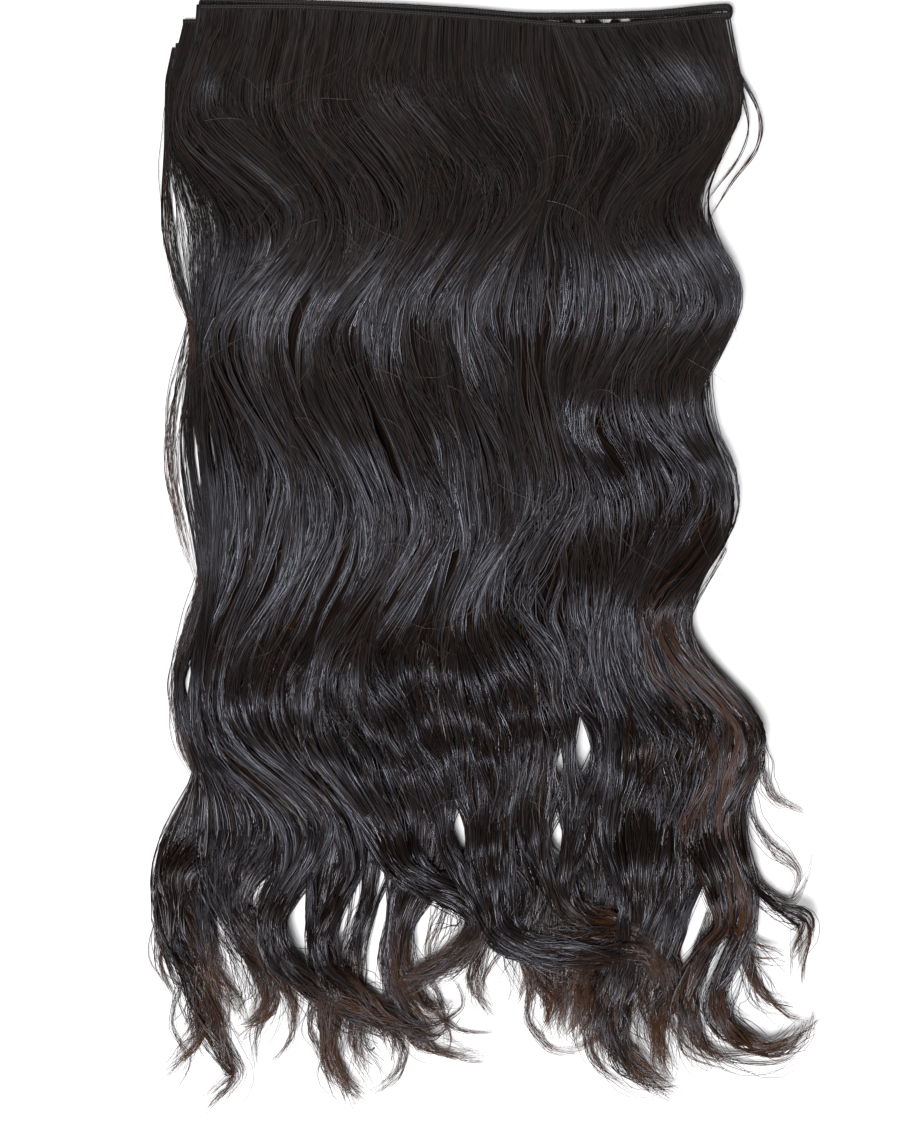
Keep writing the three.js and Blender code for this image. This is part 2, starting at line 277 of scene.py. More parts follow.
# loose ends: layer, half width in mm, then column and row of points from the curtain to the tip
looseEnds = [
    ("front", 11, (484, 825), (490, 880), (503, 925), (533, 944), (580, 951), (630, 950), (658, 968),
     (666, 1000)),
    ("front", 8, (548, 825), (552, 868), (562, 902), (585, 921), (620, 930), (650, 945), (672, 980)),
    ("front", 9, (372, 825), (392, 862), (424, 888), (460, 902), (474, 925), (457, 954), (417, 979),
     (388, 988)),
    ("front", 6, (340, 825), (350, 868), (336, 904), (321, 937), (326, 965), (352, 990), (385, 1018),
     (430, 1031), (462, 1011)),
    ("front", 9, (310, 825), (300, 872), (280, 902), (273, 926), (281, 958), (313, 988), (350, 1012),
     (390, 1034), (400, 1066)),
    ("front", 9, (640, 825), (641, 900), (629, 966), (614, 1010), (618, 1045), (642, 1076), (687, 1093)),
    ("front", 7, (702, 825), (720, 880), (725, 925), (704, 958), (686, 993), (686, 1018), (700, 1052),
     (742, 1078)),
    ("front", 8, (726, 825), (741, 880), (746, 920), (733, 957), (718, 993), (720, 1018), (737, 1039),
     (770, 1051), (801, 1038), (816, 1012)),
    ("front", 3.5, (740, 825), (745, 862), (754, 887), (782, 908), (804, 917), (807, 933), (796, 958),
     (796, 990)),
    ("front", 2.5, (724, 835), (726, 890), (734, 923), (759, 953), (787, 969), (795, 993)),
    ("second", 7, (345, 825), (332, 880), (322, 930), (330, 980), (330, 1030), (336, 1074), (352, 1100),
     (368, 1109)),
    ("second", 7, (436, 825), (424, 880), (404, 930), (402, 975), (418, 1008), (440, 1019), (462, 1008)),
    ("second", 10, (545, 825), (550, 880), (538, 930), (544, 975), (557, 1008), (546, 1046)),
    ("second", 10, (590, 825), (598, 890), (588, 945), (577, 990), (574, 1028), (586, 1052)),
    ("second", 7, (676, 830), (682, 880), (674, 923), (665, 958), (671, 993), (653, 1027), (660, 1058),
     (676, 1086)),
    ("third", 9, (240, 825), (225, 870), (231, 915), (254, 955), (266, 998), (252, 1027), (228, 1040)),
    ("third", 8, (285, 825), (256, 868), (239, 908), (258, 946), (280, 979), (291, 1011), (289, 1042)),
    ("third", 8, (512, 825), (520, 880), (530, 930), (531, 975), (521, 1018)),
    ("third", 9, (616, 825), (624, 890), (613, 950), (601, 1000), (602, 1040), (617, 1078)),
    ("third", 8, (655, 825), (663, 890), (664, 945), (655, 1000), (662, 1050), (677, 1088)),
    ("third", 3, (470, 830), (481, 935), (478, 985), (500, 1025)),
    ("third", 6, (370, 830), (366, 900), (351, 960), (358, 1016), (357, 1051), (366, 1081), (378, 1098)),
    ("bottom", 7, (190, 825), (174, 868), (169, 920), (177, 958), (197, 993), (209, 1027), (227, 1062),
     (236, 1080), (222, 1098), (200, 1116)),
    ("bottom", 6, (216, 825), (204, 870), (200, 920), (206, 975), (197, 1028), (178, 1058), (160, 1080)),
    ("bottom", 5, (408, 825), (398, 900), (390, 960), (400, 1010), (421, 1042), (452, 1056), (497, 1062)),
    ("bottom", 5, (706, 825), (728, 890), (739, 930), (752, 975), (769, 1004), (814, 1018)),
    ("bottom", 9, (545, 825), (556, 890), (552, 945), (560, 990), (540, 1030)),
    ("bottom", 9, (596, 825), (606, 890), (600, 950), (590, 1000), (561, 1046)),
    ("bottom", 7, (640, 825), (650, 890), (640, 955), (632, 1010), (642, 1056)),
    ("bottom", 2.5, (184, 832), (167, 885), (158, 923), (158, 946), (169, 981), (186, 1012)),
    ("bottom", 8, (206, 820), (180, 855), (171, 888), (182, 922), (205, 962), (226, 1002), (234, 1034)),
]
endPoints = 96    # along each of them


def curveThrough(points, count, fine=40):
    # a smooth curve through a few points, evenly stepped, and its length
    p = np.array(points, float)
    p = np.vstack([2 * p[0] - p[1], p, 2 * p[-1] - p[-2]])
    share = np.linspace(0, 1, fine, endpoint=False)[:, None]
    spots = [between(*p[i - 1:i + 3], share) for i in range(1, len(p) - 2)]
    spots = np.vstack(spots + [p[-2][None, :]])
    run = runLength(spots)
    return readAt(np.linspace(0, run[-1], count), run, spots), run[-1]


def bendsOf(curve, reach):
    # how sharply a loose end turns, per step of the chart
    heading = np.gradient(curve, axis=0)
    heading /= np.linalg.norm(heading, axis=1, keepdims=True) + 1e-9
    turn = np.gradient(heading, axis=0) * (len(curve) - 1) / reach
    bend = turn[:, 0] * heading[:, 1] - turn[:, 1] * heading[:, 0]
    return np.convolve(np.pad(bend, 3, mode="edge"), np.ones(7) / 7, mode="valid")


endLayers = np.array([each[0] for each in looseEnds])
endHalfMm = np.array([each[1] for each in looseEnds], float)
endHalves = endHalfMm * mm / chart["step"]
endStarts = np.array([each[2] for each in looseEnds], float)
endCurves, endReach = map(np.array, zip(*[curveThrough(each[2:], endPoints) for each in looseEnds]))
endBends = np.array([bendsOf(*each) for each in zip(endCurves, endReach)])


def makeMesh(name, corners, faces, uv, material):
    mesh = bpy.data.meshes.new(name)
    mesh.vertices.add(len(corners))
    mesh.vertices.foreach_set("co", np.ascontiguousarray(corners, np.float32).ravel())
    mesh.loops.add(faces.size)
    mesh.loops.foreach_set("vertex_index", np.ascontiguousarray(faces, np.int32).ravel())
    mesh.polygons.add(len(faces))
    mesh.polygons.foreach_set("loop_start", np.arange(0, faces.size, faces.shape[1], dtype=np.int32))
    mesh.polygons.foreach_set("use_smooth", np.ones(len(faces), bool))
    layer = mesh.uv_layers.new(name="OFBake")
    layer.uv.foreach_set("vector", np.ascontiguousarray(uv, np.float32).ravel())
    mesh.update(calc_edges=True)
    mesh.validate()
    mesh.materials.append(material)
    piece = bpy.data.objects.new(name, mesh)
    bpy.context.scene.collection.objects.link(piece)
    return piece


def swept(paths, radii, turns, closed):
    # the same small section along many paths of one number of points
    count, steps = paths.shape[:2]
    ahead = np.gradient(paths, axis=1)
    ahead /= np.linalg.norm(ahead, axis=2, keepdims=True) + 1e-12
    side = np.cross(ahead, (0.0, 0.0, 1.0))
    side /= np.linalg.norm(side, axis=2, keepdims=True) + 1e-9
    over = np.cross(side, ahead)
    ring = side[:, :, None, :] * np.cos(turns)[:, None] + over[:, :, None, :] * np.sin(turns)[:, None]
    corners = paths[:, :, None, :] + ring * radii[:, :, None, None]
    index = np.arange(count * steps * len(turns)).reshape(count, steps, len(turns))
    nextSide = np.roll(index, -1, axis=2)
    faces = np.stack([index[:, :-1], index[:, 1:], nextSide[:, 1:], nextSide[:, :-1]], axis=-1)
    faces = (faces if closed else faces[:, :, :-1]).reshape(-1, 4)
    along = np.broadcast_to(np.linspace(0, 1, steps)[None, :, None], index.shape)
    across = np.linspace(0.2, 0.8, len(turns))
    strand = (np.arange(count)[:, None, None] + across[None, None, :]) / count
    flat = np.stack([along, np.broadcast_to(strand, index.shape)], axis=-1).reshape(-1, 2)
    return corners.reshape(-1, 3), faces, flat[faces.ravel()]


def strandSkin(paths, radii):
    # a strand's upper half, as a narrow roof
    return swept(paths, radii, np.radians([-8, 90, 188]), False)


def threadSkin(paths, radius):
    return swept(paths, np.full(paths.shape[:2], radius), np.radians([90, 210, 330]), True)


def evenOut(paths, steps, pull=26.0):
    # fewer points, closer together where a strand bends, and not level with those of its neighbours
    rng = np.random.default_rng(steps)
    ahead = np.diff(paths, axis=1)
    length = np.linalg.norm(ahead, axis=2) + 1e-12
    ahead = ahead / length[:, :, None]
    bend = np.zeros(length.shape)
    bend[:, 1:] = np.linalg.norm(np.diff(ahead, axis=1), axis=2)
    weight = length / length.mean() + pull * bend
    weight = np.concatenate([np.zeros((len(paths), 1)), np.cumsum(weight, axis=1)], axis=1)
    made = np.empty((len(paths), steps, 3))
    for i, path in enumerate(paths):
        even = np.linspace(0, 1, steps)
        even[1:-1] += rng.uniform(-0.45, 0.45) / (steps - 1)
        made[i] = readAt(even * weight[i, -1], weight[i], path)
    return made


def addNode(tree, kind, inputs=(), **settings):
    # a node with its settings, and its inputs linked or given a value
    node = tree.nodes.new(kind)
    for name, value in settings.items():
        setattr(node, name, value)
    for name, value in dict(inputs).items():
        if isinstance(value, bpy.types.NodeSocket):
            tree.links.new(value, node.inputs[name])
        else:
            node.inputs[name].default_value = value
    return node


def product(tree, a, b):
    return addNode(tree, "ShaderNodeMath", {0: a, 1: b}, operation="MULTIPLY").outputs[0]


def ranged(tree, value, low, high, made=(0.0, 1.0), curve="LINEAR"):
    inputs = {"Value": value, "From Min": low, "From Max": high, "To Min": made[0], "To Max": made[1]}
    return addNode(tree, "ShaderNodeMapRange", inputs, interpolation_type=curve).outputs[0]


def blended(tree, share, a, b, way="MIX"):
    inputs = {"Factor": share, "A": a, "B": b}
    return addNode(tree, "ShaderNodeMix", inputs, data_type="RGBA", blend_type=way).outputs["Result"]


def newGroup(name, inputs, outputs):
    group = bpy.data.node_groups.new(name, "ShaderNodeTree")
    for socket, kind in inputs.items():
        group.interface.new_socket(socket, in_out="INPUT", socket_type=kind)
    for socket, kind in outputs.items():
        group.interface.new_socket(socket, in_out="OUTPUT", socket_type=kind)
    return group, group.nodes.new("NodeGroupInput").outputs, group.nodes.new("NodeGroupOutput").inputs


def newMaterial(name):
    material = bpy.data.materials.new(name)
    material.use_nodes = True
    tree = material.node_tree
    return material, tree, tree.nodes["Principled BSDF"]


# colour and gloss along a strand: dark with some brown strands, lighter and greyer towards its start as a
# painted sheen, deeper and browner further along, and browner ends
toneLook = {
    "stretch": 5.0,                 # streaks from root to tip
    "brownGrain": (0.47, 0.66),     # noise from dark to brown
    "sheenFadeAlong": (0.3, 0.55),       # share of the strand over which its painted sheen fades and it deepens
    # the colour is multiplied by this further along: the painted sheen fades, and the colour goes darker and
    # browner
    "sheenFadeAndBrowning": (0.54, 0.43, 0.37, 1),
    "glossGrain": (0.34, 0.66),
    "roughness": (0.19, 0.42),
}


def hairToneGroup():
    value, colour = "NodeSocketFloat", "NodeSocketColor"
    group, given, out = newGroup("hairTone", {
        "Along": value, "Strand": value, "Dark": colour, "Brown": colour, "Tip": colour, "Tip Start": value,
        "Tip Full": value, "Strands": value, "Brown Share": value,
    }, {"Color": colour, "Roughness": value})
    place = addNode(group, "ShaderNodeCombineXYZ", {
        "X": product(group, given["Along"], toneLook["stretch"]),
        "Y": product(group, given["Strand"], given["Strands"]),
    }).outputs[0]
    noise = addNode(group, "ShaderNodeTexNoise", {"Vector": place, "Scale": 1.0, "Detail": 2.0})
    streaks = noise.outputs["Fac"]
    brown = product(group, ranged(group, streaks, *toneLook["brownGrain"]), given["Brown Share"])
    tone = blended(group, brown, given["Dark"], given["Brown"])
    # painted sheen: lighter and greyer towards the strand's start, deepening and browning further along
    sheenFading = ranged(group, given["Along"], *toneLook["sheenFadeAlong"], curve="SMOOTHSTEP")
    tone = blended(group, sheenFading, tone, toneLook["sheenFadeAndBrowning"], "MULTIPLY")
    tip = ranged(group, given["Along"], given["Tip Start"], given["Tip Full"], curve="SMOOTHSTEP")
    group.links.new(blended(group, tip, tone, given["Tip"]), out["Color"])
    gloss = ranged(group, streaks, *toneLook["glossGrain"], toneLook["roughness"])
    group.links.new(gloss, out["Roughness"])
    return group


hairTone = hairToneGroup()

# finishes of hair: linear colours, the shares of the strand where the tip starts and is full, the streaks
# across a piece, the share of brown among them, and the shine
plainHair = {"tip": (0.068, 0.027, 0.0085), "tipFull": 1.0, "strands": 300.0, "tint": (0.80, 0.85, 1.0)}
faceHair = {**plainHair, "tip": (0.036, 0.0175, 0.0085), "tipStart": 0.91, "strands": 420.0}
fineHair = {**plainHair, "tipStart": 0.2, "strands": 60.0, "brownShare": 0.8}
hairLooks = {
    # the dark tones of the face finishes are lighter and greyer than those of the hair under them: a painted
    # sheen
    "front": {**faceHair, "dark": (0.0144, 0.0124, 0.0120), "brown": (0.056, 0.039, 0.031),
              "brownShare": 0.6, "shine": 0.32},
    "frontDull": {**faceHair, "dark": (0.0110, 0.0092, 0.0087), "brown": (0.057, 0.038, 0.030),
                  "brownShare": 0.6, "shine": 0.12},
    "frontBright": {**faceHair, "dark": (0.0098, 0.0084, 0.0081), "brown": (0.046, 0.032, 0.026),
                    "brownShare": 0.5, "shine": 0.75},
    "frontWarm": {**faceHair, "dark": (0.0098, 0.0080, 0.0074), "brown": (0.056, 0.036, 0.027),
                  "brownShare": 0.5, "shine": 0.3, "tip": (0.046, 0.0195, 0.0085), "tipStart": 0.5,
                  "tipFull": 0.6},
    "under": {**plainHair, "dark": (0.0072, 0.0054, 0.0047), "brown": (0.046, 0.028, 0.020),
              "brownShare": 0.5, "shine": 0.30, "tipStart": 0.86},
    "ends": {**plainHair, "dark": (0.0060, 0.0036, 0.0026), "brown": (0.060, 0.025, 0.010),
             "brownShare": 0.35, "shine": 0.3, "tipStart": 0.78, "tint": (0.95, 0.92, 0.95)},
    "endsDull": {**plainHair, "dark": (0.0056, 0.0029, 0.0018), "brown": (0.064, 0.025, 0.009),
                 "brownShare": 0.4, "shine": 0.08, "tipStart": 0.74, "tint": (1.0, 0.95, 0.92)},
    "endsBright": {**plainHair, "dark": (0.0044, 0.0032, 0.0027), "brown": (0.050, 0.023, 0.011),
                   "brownShare": 0.3, "shine": 0.8, "tipStart": 0.8, "tint": (0.88, 0.89, 1.0)},
    "loose": {**fineHair, "dark": (0.014, 0.009, 0.007), "brown": (0.060, 0.030, 0.015), "shine": 0.3},
    "stray": {**fineHair, "dark": (0.050, 0.040, 0.034), "brown": (0.110, 0.085, 0.070), "shine": 0.4},
    "mat": {**plainHair, "dark": (0.0080, 0.0064, 0.0058), "brown": (0.040, 0.029, 0.024),
            "brownShare": 0.8, "shine": 0.0, "tipStart": 0.8},
}


def hairFinish(name, look):
    material, tree, shader = newMaterial(name)
    flat = addNode(tree, "ShaderNodeUVMap", uv_map="OFBake")
    parts = addNode(tree, "ShaderNodeSeparateXYZ", {0: flat.outputs["UV"]})
    tone = addNode(tree, "ShaderNodeGroup", node_tree=hairTone)
    for socket, key in (("Dark", "dark"), ("Brown", "brown"), ("Tip", "tip")):
        tone.inputs[socket].default_value = (*look[key], 1)
    for socket, key in (("Tip Start", "tipStart"), ("Tip Full", "tipFull"), ("Strands", "strands"),
                        ("Brown Share", "brownShare")):
        tone.inputs[socket].default_value = look[key]
    tree.links.new(parts.outputs["X"], tone.inputs["Along"])
    tree.links.new(parts.outputs["Y"], tone.inputs["Strand"])
    tree.links.new(tone.outputs["Color"], shader.inputs["Base Color"])
    tree.links.new(tone.outputs["Roughness"], shader.inputs["Roughness"])
    shader.inputs["Specular IOR Level"].default_value = look["shine"]
    shader.inputs["Specular Tint"].default_value = (*look["tint"], 1)
    return material


finishes = {name: hairFinish(name + "Hair", look) for name, look in hairLooks.items()}
print("finishes made")

# the layers of hair: place in the pile, how far the waves are evened out, the first lock at the root, the
# first and last below it, spread of hairs about their tress at the root and below, and drift of the tresses
layers = {
    "front": {"level": 3, "calm": 0.0, "root": 0.0, "first": 0.0, "last": 12.0, "loose": (0.2, 0.11),
              "drift": 1.0},
    "second": {"level": 2, "calm": 0.5, "root": -0.04, "first": -0.35, "last": 11.8, "loose": (0.3, 0.2),
               "drift": 0.6},
    "third": {"level": 1, "calm": 0.6, "root": -0.72, "first": -0.8, "last": 11.6, "loose": (0.35, 0.28),
              "drift": 0.4},
    "bottom": {"level": 0, "calm": 0.7, "root": -1.0, "first": -1.0, "last": 11.6, "loose": (0.35, 0.28),
               "drift": 0.4},
}

# slits where the strands part: half width, then the row and column of each end
slits = [
    (5.5, (730, 564), (802, 559)), (8.5, (704, 586), (792, 581)), (6.0, (798, 558), (876, 556)),
    (6.5, (806, 463), (858, 456)), (2.5, (420, 193), (505, 197)), (2.5, (405, 209), (485, 213)),
    (3.0, (636, 186), (732, 184)),
]
# the same, only in the front layer, so that the darker hair under it shows
darkSlits = [(5.5, (26, 560), (150, 567)), (4.0, (30, 217), (66, 212)), (3.5, (24, 312), (60, 310))]

# kinds of strand: points along each, and the finishes that they are shared out to
strandKinds = {
    "face": {"steps": 54, "finishes": ("frontDull", "front", "frontBright")},
    "under": {"steps": 40, "finishes": ("under",)},
    "ends": {"steps": 25, "finishes": ("endsDull", "ends", "endsBright")},
}

# sets of strands: locks, tresses in a lock and hairs in a tress, depth and rise of a lock in mm, and how the
# locks are crowded, as shares and the locks there
strandSets = {
    "frontStrands": {"layer": "front", "kind": "face", "locks": 22, "tresses": 6, "hairs": 11, "seed": 11,
                     "depth": 2.4, "rise": 1.5, "crowding": ((0, 1), (0.0, 12.0))},
    "fillStrands": {"layer": "front", "kind": "under", "locks": 12, "tresses": 4, "hairs": 8, "seed": 17,
                    "depth": 2.0, "rise": 0.8, "sink": 2.6, "crowding": ((0, 1), (0.2, 11.9))},
    "secondStrands": {"layer": "second", "kind": "under", "locks": 12, "tresses": 4, "hairs": 8, "seed": 23,
                      "depth": 2.0, "rise": 0.8,
                      "crowding": ((0, 0.35, 0.85, 1), (-0.35, 1.4, 10.5, 11.8))},
    "thirdStrands": {"layer": "third", "kind": "under", "locks": 12, "tresses": 3, "hairs": 5, "seed": 37,
                     "depth": 2.0, "rise": 0.6, "fine": 0.62,
                     "crowding": ((0, 0.4, 0.85, 1), (-0.74, 0.8, 10.5, 11.6))},
    "bottomStrands": {"layer": "bottom", "kind": "under", "locks": 12, "tresses": 3, "hairs": 5, "seed": 53,
                      "depth": 1.6, "rise": 0.5, "fine": 0.62,
                      "crowding": ((0, 0.4, 0.85, 1), (-1.0, 0.6, 10.5, 11.6))},
    "sideStrands": {"layer": "third", "kind": "under", "locks": 3, "tresses": 4, "hairs": 10, "seed": 41,
                    "depth": 2.0, "rise": 0.6, "fine": 0.62, "crowding": ((0, 1), (-0.72, 0.15))},
    "edgeStrands": {"layer": "bottom", "kind": "under", "locks": 3, "tresses": 4, "hairs": 10, "seed": 43,
                    "depth": 1.6, "rise": 0.5, "fine": 0.62, "crowding": ((0, 1), (-1.0, 0.1))},
}
# strands of the loose ends alone: hairs in a tress, seed, depth, rise and first row
for layer, hairs, seed, depth, rise, start in (
    ("front", 11, 61, 2.4, 1.0, 590), ("second", 12, 67, 2.0, 0.8, 600),
    ("third", 12, 73, 2.0, 0.8, 600), ("bottom", 12, 79, 1.6, 0.6, 600),
):
    strandSets[layer + "Ends"] = {"layer": layer, "kind": "ends", "perHalf": 0.75, "hairs": hairs,
                                  "seed": seed, "depth": depth, "rise": rise, "from": start}
# thin hairs that stray from them: tresses for each mm of half width, and seed
for layer, perHalf, seed in (
    ("front", 0.75, 83), ("second", 0.8, 89), ("third", 0.85, 97), ("bottom", 0.85, 101),
):
    strandSets[layer + "Fringe"] = {"layer": layer, "kind": "ends", "perHalf": perHalf, "hairs": 7,
                                    "seed": seed, "depth": 2.0, "rise": 0.8, "from": 740, "fine": 0.66,
                                    "stray": 0.6}

strandShape = {
    "dense": 230,            # points along a strand before it is evened out
    "radius": 0.00021,       # metres
    "widths": (0.7, 1.2),    # of the radius, from strand to strand
    "tipWidth": 0.45,
    "fan": 1.25,             # how much wider a lock is at its root
    "lengths": (0.66, 1.0),  # of the loose end, from hair to hair
    "tressLengths": (0.8, 1.0),
}


def wander(rng, group, rows, size, length):
    # slow drift along the rows, the same for each group of strands
    count = group.max() + 1
    total = 0
    for share in (1.0, 0.55, 0.3):
        phase = rng.uniform(0, 2 * np.pi, count)[group][:, None]
        pace = 2 * np.pi / (length * share * rng.uniform(0.8, 1.25, count)[group][:, None])
        total = total + share * np.sin(phase + pace * rows)
    return size * total / 1.4


def parted(column, row, layer):
    # each strand keeps to the side that it is on at the middle of the slit
    each = np.arange(len(row))
    for half, first, last in slits + (darkSlits if layer == "front" else []):
        share = (row - first[0]) / (last[0] - first[0])
        away = column - mix(first[1], last[1], share)
        side = np.sign(away[each, np.abs(share - 0.5).argmin(axis=1)])[:, None]
        width = half * np.sqrt(np.sin(np.pi * np.clip(share, 0, 1)))
        column = column + side * width * np.maximum(1 - np.abs(away) / (3 * half), 0)
    return column


def lockPlan(look, rng):
    # where the locks are, how wide, how many tresses each has and the loose end that each goes into
    layer = layers[look["layer"]]
    if look["kind"] == "ends":
        own = np.flatnonzero(endLayers == look["layer"])
        locks = np.linspace(layer["first"], layer["last"], 300)
        columns = np.maximum.accumulate(flowColumn(locks, chart["endRow"], layer["calm"]))
        middle = np.interp(endStarts[own, 0], columns, locks)
        spread = endHalves[own] / chart["lockWidth"] * strandShape["fan"]
        tresses = np.maximum(2, np.round(endHalfMm[own] * look["perHalf"])).astype(int)
        return middle, spread, tresses, own
    even = (np.arange(look["locks"]) + 0.5 + rng.uniform(-0.3, 0.3, look["locks"])) / look["locks"]
    middle = np.interp(even, *look["crowding"])
    return middle, np.gradient(middle) * 0.55, np.full(look["locks"], look["tresses"]), None


def strandPlan(look):
    # for each strand: the lock and tress that it is in, its own chances, its loose end and its rows
    rng = np.random.default_rng(look["seed"])
    layer = layers[look["layer"]]
    middle, spread, tresses, ownEnd = lockPlan(look, rng)
    tressLock = np.repeat(np.arange(len(middle)), tresses)
    ofTress = np.repeat(np.arange(len(tressLock)), look["hairs"])
    ofLock = tressLock[ofTress]
    total = len(ofTress)

    def perLock(low, high):
        return rng.uniform(low, high, len(middle))[ofLock]

    def perTress(low, high):
        return rng.uniform(low, high, len(tressLock))[ofTress]

    plan = SimpleNamespace(rng=rng, look=look, layer=layer, ofTress=ofTress, ofLock=ofLock, perLock=perLock)
    plan.each = np.arange(total)
    plan.lockAt = middle[ofLock]
    place = np.concatenate([(np.arange(count) + 0.5) / count * 2 - 1 for count in tresses])
    plan.tressAt = place[ofTress] + perTress(-0.25, 0.25)
    plan.hairAt = rng.normal(0, 0.5, total).clip(-1.3, 1.3)
    plan.inDepth = rng.uniform(0, 1, total)[:, None]
    plan.aside = plan.tressAt * spread[ofLock]

    # rows by which a lock's waves are shifted, how far they are evened out, and the same for its swells
    shift = 9 * np.sin(plan.lockAt * 1.9 + look["seed"]) + perLock(-8, 8)
    evened = layer["calm"] + perLock(-0.18, 0.22) + perTress(-0.1, 0.1)
    plan.evened = np.clip(evened, -0.15, 0.8)[:, None]
    plan.shift = (shift + perTress(-5, 5))[:, None]
    plan.lift = perLock(-1, 1)[:, None]
    bandShift = (perLock(-24, 24) + perTress(-16, 16))[:, None]
    plan.bandShift = bandShift * mix(1, 0.35, smoothStep(plan.lockAt[:, None], 8.2, 9.4))
    plan.bandSize = (perLock(0.7, 1.35) * perTress(0.8, 1.2))[:, None]

    # the loose end that the strand goes into
    low = plan.lockAt + plan.aside + plan.hairAt * layer["loose"][1]
    plan.lowColumn = flowColumn(low, chart["endRow"], layer["calm"])
    tressColumn = flowColumn(middle[tressLock] + place * spread[tressLock], chart["endRow"], layer["calm"])
    plan.tressColumn = tressColumn[ofTress]
    if ownEnd is None:
        own = np.flatnonzero(endLayers == look["layer"])
        away = np.abs(tressColumn[:, None] - endStarts[own, 0]) / endHalves[own]
        plan.endOf = own[np.argmin(away + rng.uniform(0, 0.5, away.shape), axis=1)][ofTress]
    else:
        plan.endOf = ownEnd[ofLock]
    plan.begin = endStarts[plan.endOf, 1][:, None]
    plan.half = endHalves[plan.endOf][:, None]
    plan.reach = endReach[plan.endOf][:, None]
    stop = mix(*strandShape["lengths"], rng.uniform(0, 1, (total, 1)) ** 0.7)
    stop = stop * mix(*strandShape["tressLengths"], perTress(0, 1) ** 0.4)[:, None]

    # the rows that it runs through, from the track or from the start of its end
    rootLock = plan.lockAt + plan.aside * strandShape["fan"] + plan.hairAt * layer["loose"][0]
    rootColumn = flowColumn(np.clip(rootLock, layer["root"], layer["last"]), chart["rootRow"])
    plan.start = (runRow(look["layer"], rootColumn) + 0.6 + rng.uniform(0, 1.4, total))[:, None]
    if look["kind"] == "ends":
        plan.start = look["from"] + rng.uniform(-60, 60, (total, 1))
    share = np.linspace(0, 1, strandShape["dense"])[None, :]
    plan.far = mix(plan.start, plan.begin + plan.reach * stop, share)
    plan.free = smoothStep(plan.far, 30, 170)
    return plan


# drift of locks, tresses and hairs across the waves: size in locks, and rows
driftLook = {"lock": (0.14, 330), "tress": (0.085, 240), "hair": (0.014, 230)}


def waveColumn(plan):
    # along the waves
    far, layer = plan.far, plan.layer
    down = smoothStep(far, 40, 420)
    lock = plan.lockAt[:, None] + plan.aside[:, None] * mix(strandShape["fan"], 1.0, down)
    lock = lock + plan.hairAt[:, None] * mix(*layer["loose"], down)
    drift = plan.free * layer["drift"] * mix(1, 1.35, smoothStep(far, 400, 660))
    lock = lock + drift * wander(plan.rng, plan.ofLock, far, *driftLook["lock"])
    lock = lock + drift * wander(plan.rng, plan.ofTress, far, *driftLook["tress"])
    lock = lock + plan.free * wander(plan.rng, plan.each, far, *driftLook["hair"])
    edge = mix(layer["root"], layer["first"], smoothStep(far, 20, 150))
    lock = mix(np.clip(lock, edge, layer["last"]), lock, 0.06)
    evened = (plan.evened + 0.5 * smoothStep(lock, 7.9, 9.2)) * smoothStep(far, 120, 330)
    return lock, flowColumn(lock, np.minimum(far + plan.free * plan.shift, plan.begin + 150), evened)


endLook = {
    "leave": 70,              # rows before and after its start over which strands turn into a loose end
    "gather": (-0.12, 0.42),  # shares of the end over which they draw together
    "pinch": (0.4, 1.0),      # and over which they narrow to the tip
    "tipShare": 0.2,
    "tressShare": 0.42,       # of where a tress was across the curtain
    "hairShare": 0.17,        # of the end's half width
    "hairDrift": 2.5,         # columns
    "tressDrift": 10,
    "strayDrift": 11.0,
    "innerShare": 0.7,        # of the radius of a bend that strands may fill
}


def endSpots(plan):
    # along the loose end, drawing together to its tip
    far, rng, half = plan.far, plan.rng, plan.half
    stray = plan.look.get("stray", 0)
    share = (far - plan.begin) / plan.reach
    inEnd = np.clip(share, 0, 1)
    at = inEnd * (endPoints - 1)
    point = np.minimum(at.astype(int), endPoints - 2)
    here = endCurves[plan.endOf[:, None], point]
    after = endCurves[plan.endOf[:, None], point + 1]
    heading = (after - here) / (np.linalg.norm(after - here, axis=2, keepdims=True) + 1e-9)
    before = np.minimum(share, 0) * plan.reach
    spot = mix(here, after, (at - point)[..., None]) + heading * before[..., None]

    starts = endStarts[plan.endOf, 0][:, None]
    lateral = np.clip(plan.lowColumn[:, None] - starts, -2.4 * half, 2.4 * half)
    ofItsTress = np.clip(plan.tressColumn[:, None] - starts, -1.6 * half, 1.6 * half)
    gathered = smoothStep(share, *endLook["gather"])
    pinched = mix(1, endLook["tipShare"], smoothStep(share, *endLook["pinch"]))
    offset = lateral * (1 - gathered) + ofItsTress * endLook["tressShare"] * gathered * pinched
    offset = offset + plan.hairAt[:, None] * half * endLook["hairShare"] * gathered * pinched
    offset = offset + wander(rng, plan.each, far, 1.0, 260) * mix(0, endLook["hairDrift"], inEnd ** 1.5)
    offset = offset + wander(rng, plan.ofTress, far, 1.0, 190) * mix(0, endLook["tressDrift"], inEnd ** 0.8)
    offset = offset + stray * rng.normal(0, 1, half.shape) * half * smoothStep(share, 0.0, 0.8)
    strayDrift = wander(rng, plan.each, far, endLook["strayDrift"], 190)
    offset = offset + stray * strayDrift * smoothStep(share, 0.1, 0.8)

    # not past the middle of a tight bend
    bend = endBends[plan.endOf[:, None], point]
    inner = endLook["innerShare"] / np.maximum(np.abs(bend), 1e-6)
    offset = np.where(offset * bend > 0, np.clip(offset, -inner, inner), offset)
    across = np.stack([heading[..., 1], -heading[..., 0]], axis=-1)
    return spot + across * offset[..., None], share


heightLook = {
    "skin": 0.35,                # mm that the top strands lie under the layer's top, and the least height
    "endTop": 4.2,               # least height of the loose ends
    "together": (0.65, 1.0),     # how level the lower swells of the left and of the middle locks are
    "level": 0.3,                # share of the swells' own shifts that is left there
    "stagger": 1.4,
    "curl": (2.3, 125),          # mm and rows of the curl toward the tips
    "hair": (0.42, 95),          # the same for the drift of hairs, tresses and locks
    "tress": (0.6, 125),
    "lock": (0.5, 190),
    "endSink": 4.5,              # how far under the others the strands of the ends start
}


